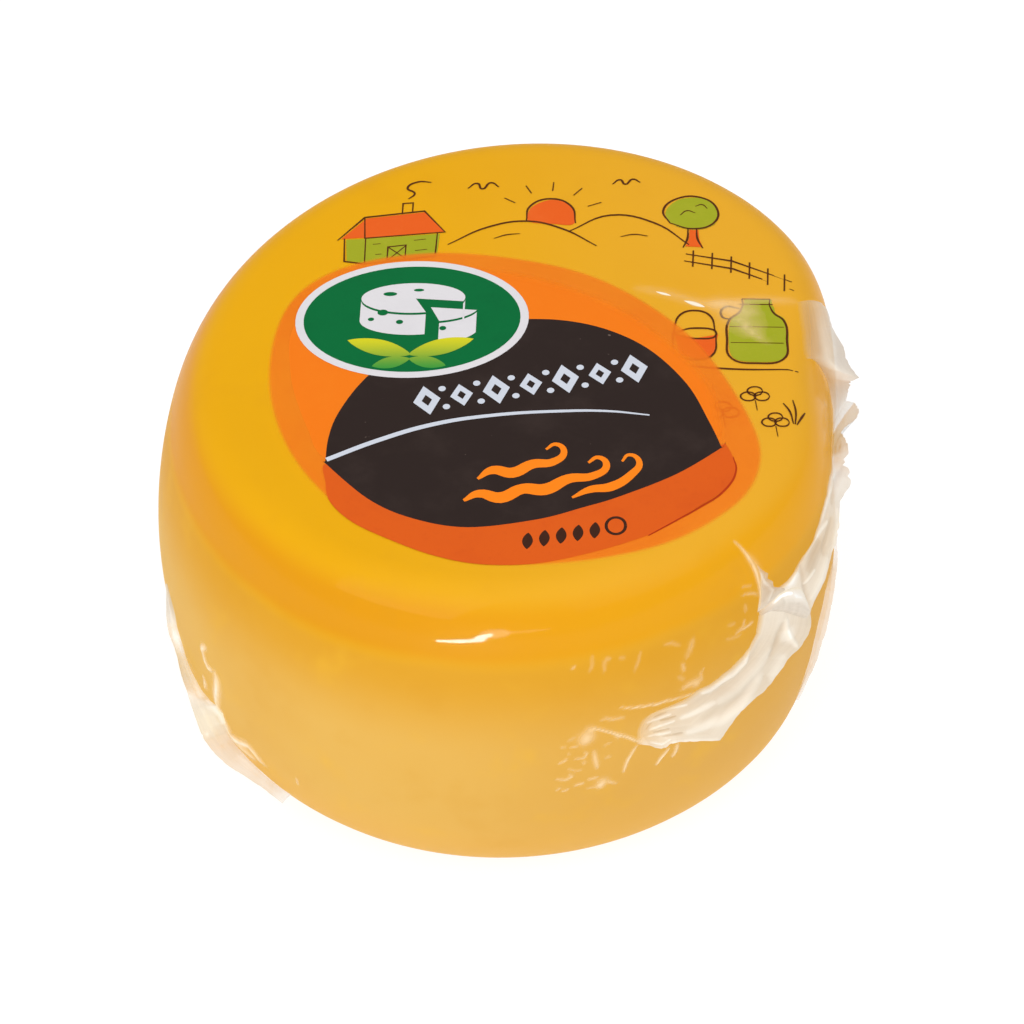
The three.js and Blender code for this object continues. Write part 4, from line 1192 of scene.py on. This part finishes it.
curved_lines = [
    # smoke from the chimney
    pen_line((-13.6, 25.8), (-12.9, 26.8), (-13.8, 27.8), (-12.6, 28.9), (-11.0, 28.8)),
    # hills and their grass
    pen_line((-8.6, 17.6), (-4.0, 20.6), (0.6, 21.6), (4.8, 20.2), (8.8, 17.2)),
    pen_line((5.6, 19.8), (10.4, 22.6), (15.6, 21.2), (19.6, 17.4)),
    pen_line((-3.2, 18.6), (-1.8, 19.2), (-0.2, 19.4), width=thin_pen),
    pen_line((11.6, 18.8), (13.2, 19.2), (14.8, 18.9), width=thin_pen),
    # sun and its rays
    pen_line((0.5, 21.7), (0.9, 24.3), (3.3, 25.6), (5.7, 24.3), (6.3, 21.2)),
    pen_line((-0.9, 24.9), (-2.2, 25.8)), pen_line((1.0, 26.6), (0.3, 28.0)),
    pen_line((3.5, 27.0), (3.6, 28.6)), pen_line((6.0, 26.2), (7.0, 27.5)),
    pen_line((7.7, 24.2), (9.3, 24.9)),
    # tree crown and trunk
    pen_line((17.4, 21.2), (16.6, 23.4), (18.3, 25.6), (21.0, 25.8), (22.9, 23.9), (22.5, 21.2),
             (20.0, 20.2), (17.4, 21.2)),
    pen_line((19.5, 20.3), (19.4, 18.4), (18.9, 16.9)),
    pen_line((20.5, 20.3), (20.6, 18.4), (21.2, 16.8)),
    pen_line((18.6, 22.6), (19.4, 23.4), (20.4, 23.0), width=thin_pen),
    pen_line((20.4, 24.2), (21.2, 24.5), (21.8, 23.8), width=thin_pen),
    # churn: body, handle
    pen_line((25.7, 7.2), (25.2, 5.9), (24.1, 4.7), (23.8, 1.6), (24.3, -1.6), (27.2, -2.3),
             (30.1, -1.6), (30.6, 1.6), (30.3, 4.7), (29.2, 5.9), (28.7, 7.2)),
    pen_line((25.3, 6.6), (23.6, 6.8), (23.3, 5.2), (24.2, 4.8)),
    # pail
    pen_line((17.6, 2.4), (18.2, -1.2), (20.2, -1.8), (22.0, -1.2), (22.6, 2.4)),
    pen_line((17.6, 2.4), (20.1, 3.3), (22.6, 2.4), (20.1, 1.6), (17.6, 2.4)),
    pen_line((17.7, 2.7), (18.6, 5.6), (20.2, 6.2), (21.8, 5.5), (22.5, 2.7)),
    # ground
    pen_line((16.4, -2.5), (20.0, -2.9), (25.0, -3.3), (31.8, -3.2)),
    # birds
    pen_line((-6.6, 27.6), (-5.5, 28.5), (-4.9, 27.5), (-3.9, 28.6), (-2.9, 27.8)),
    pen_line((10.6, 28.2), (11.5, 29.0), (12.1, 28.2), (13.0, 29.1), (13.9, 28.5)),
    # clover and grass
    *(pen_line(*oval((x + dx * size, y + dy * size), 0.95 * size, 0.75 * size, 9, 0, ring_end),
               width=thin_pen)
      for x, y, size in ((26.8, -7.6, 0.9), (23.2, -10.2, 1.0), (29.0, -11.6, 0.85))
      for dx, dy in ((-0.85, 0.0), (0.85, 0.05), (0.0, 0.95))),
    *(pen_line((x, y - 0.2), (x + 0.2, y - 1.8), width=thin_pen)
      for x, y in ((26.8, -8.0), (23.2, -10.6), (29.0, -12.0))),
    pen_line((31.0, -11.6), (30.6, -9.8), (29.9, -8.6), width=0.25),
    pen_line((31.2, -11.6), (31.3, -9.6), (31.0, -8.0), width=0.25),
    pen_line((31.4, -11.6), (32.0, -10.2), (32.4, -9.3), width=0.25),
]
olive_shapes = [
    [(-20.6, 18.7), (-20.3, 15.0), (-17.9, 14.5), (-9.8, 15.5), (-9.6, 19.5), (-18.2, 18.8)],
    flow([(17.7, 21.0), (16.9, 23.2), (18.5, 25.4), (21.2, 25.6), (23.1, 23.7), (22.6, 21.0),
          (20.2, 20.0)], 6) * 1000,
    flow([(25.9, 7.2), (25.4, 5.9), (24.3, 4.7), (24.0, 1.6), (24.5, -1.5), (27.3, -2.1),
          (30.2, -1.5), (30.8, 1.6), (30.5, 4.7), (29.4, 5.9), (28.9, 7.2)], 6) * 1000,
    [(25.9, 8.1), (25.8, 7.4), (29.0, 7.4), (29.0, 8.1)],
]
red_shapes = [
    [(-21.2, 18.8), (-18.4, 22.4), (-11.4, 23.4), (-9.1, 19.9), (-18.2, 19.0), (-20.2, 18.9)],
    flow([(0.8, 21.6), (1.1, 24.1), (3.5, 25.4), (5.9, 24.1), (6.1, 21.1), (3.6, 21.1)], 6) * 1000,
    [(17.9, 2.3), (18.4, -1.1), (20.4, -1.7), (22.2, -1.1), (22.8, 2.3), (20.3, 1.7)],
    [(19.7, 20.2), (19.6, 18.4), (19.2, 17.1), (21.2, 17.0), (20.8, 18.4), (20.7, 20.2)],
]
ink_fields("drawing_olive", olive_shapes, olive, fill_lift, node="wrapped_cheese")
ink_fields("drawing_red", red_shapes, warm_red, fill_lift, node="wrapped_cheese")
ink_strokes("drawing_straight", straight_lines, line_brown, line_lift, smooth=False,
            node="wrapped_cheese")
ink_strokes("drawing_curved", curved_lines, line_brown, line_lift, node="wrapped_cheese")
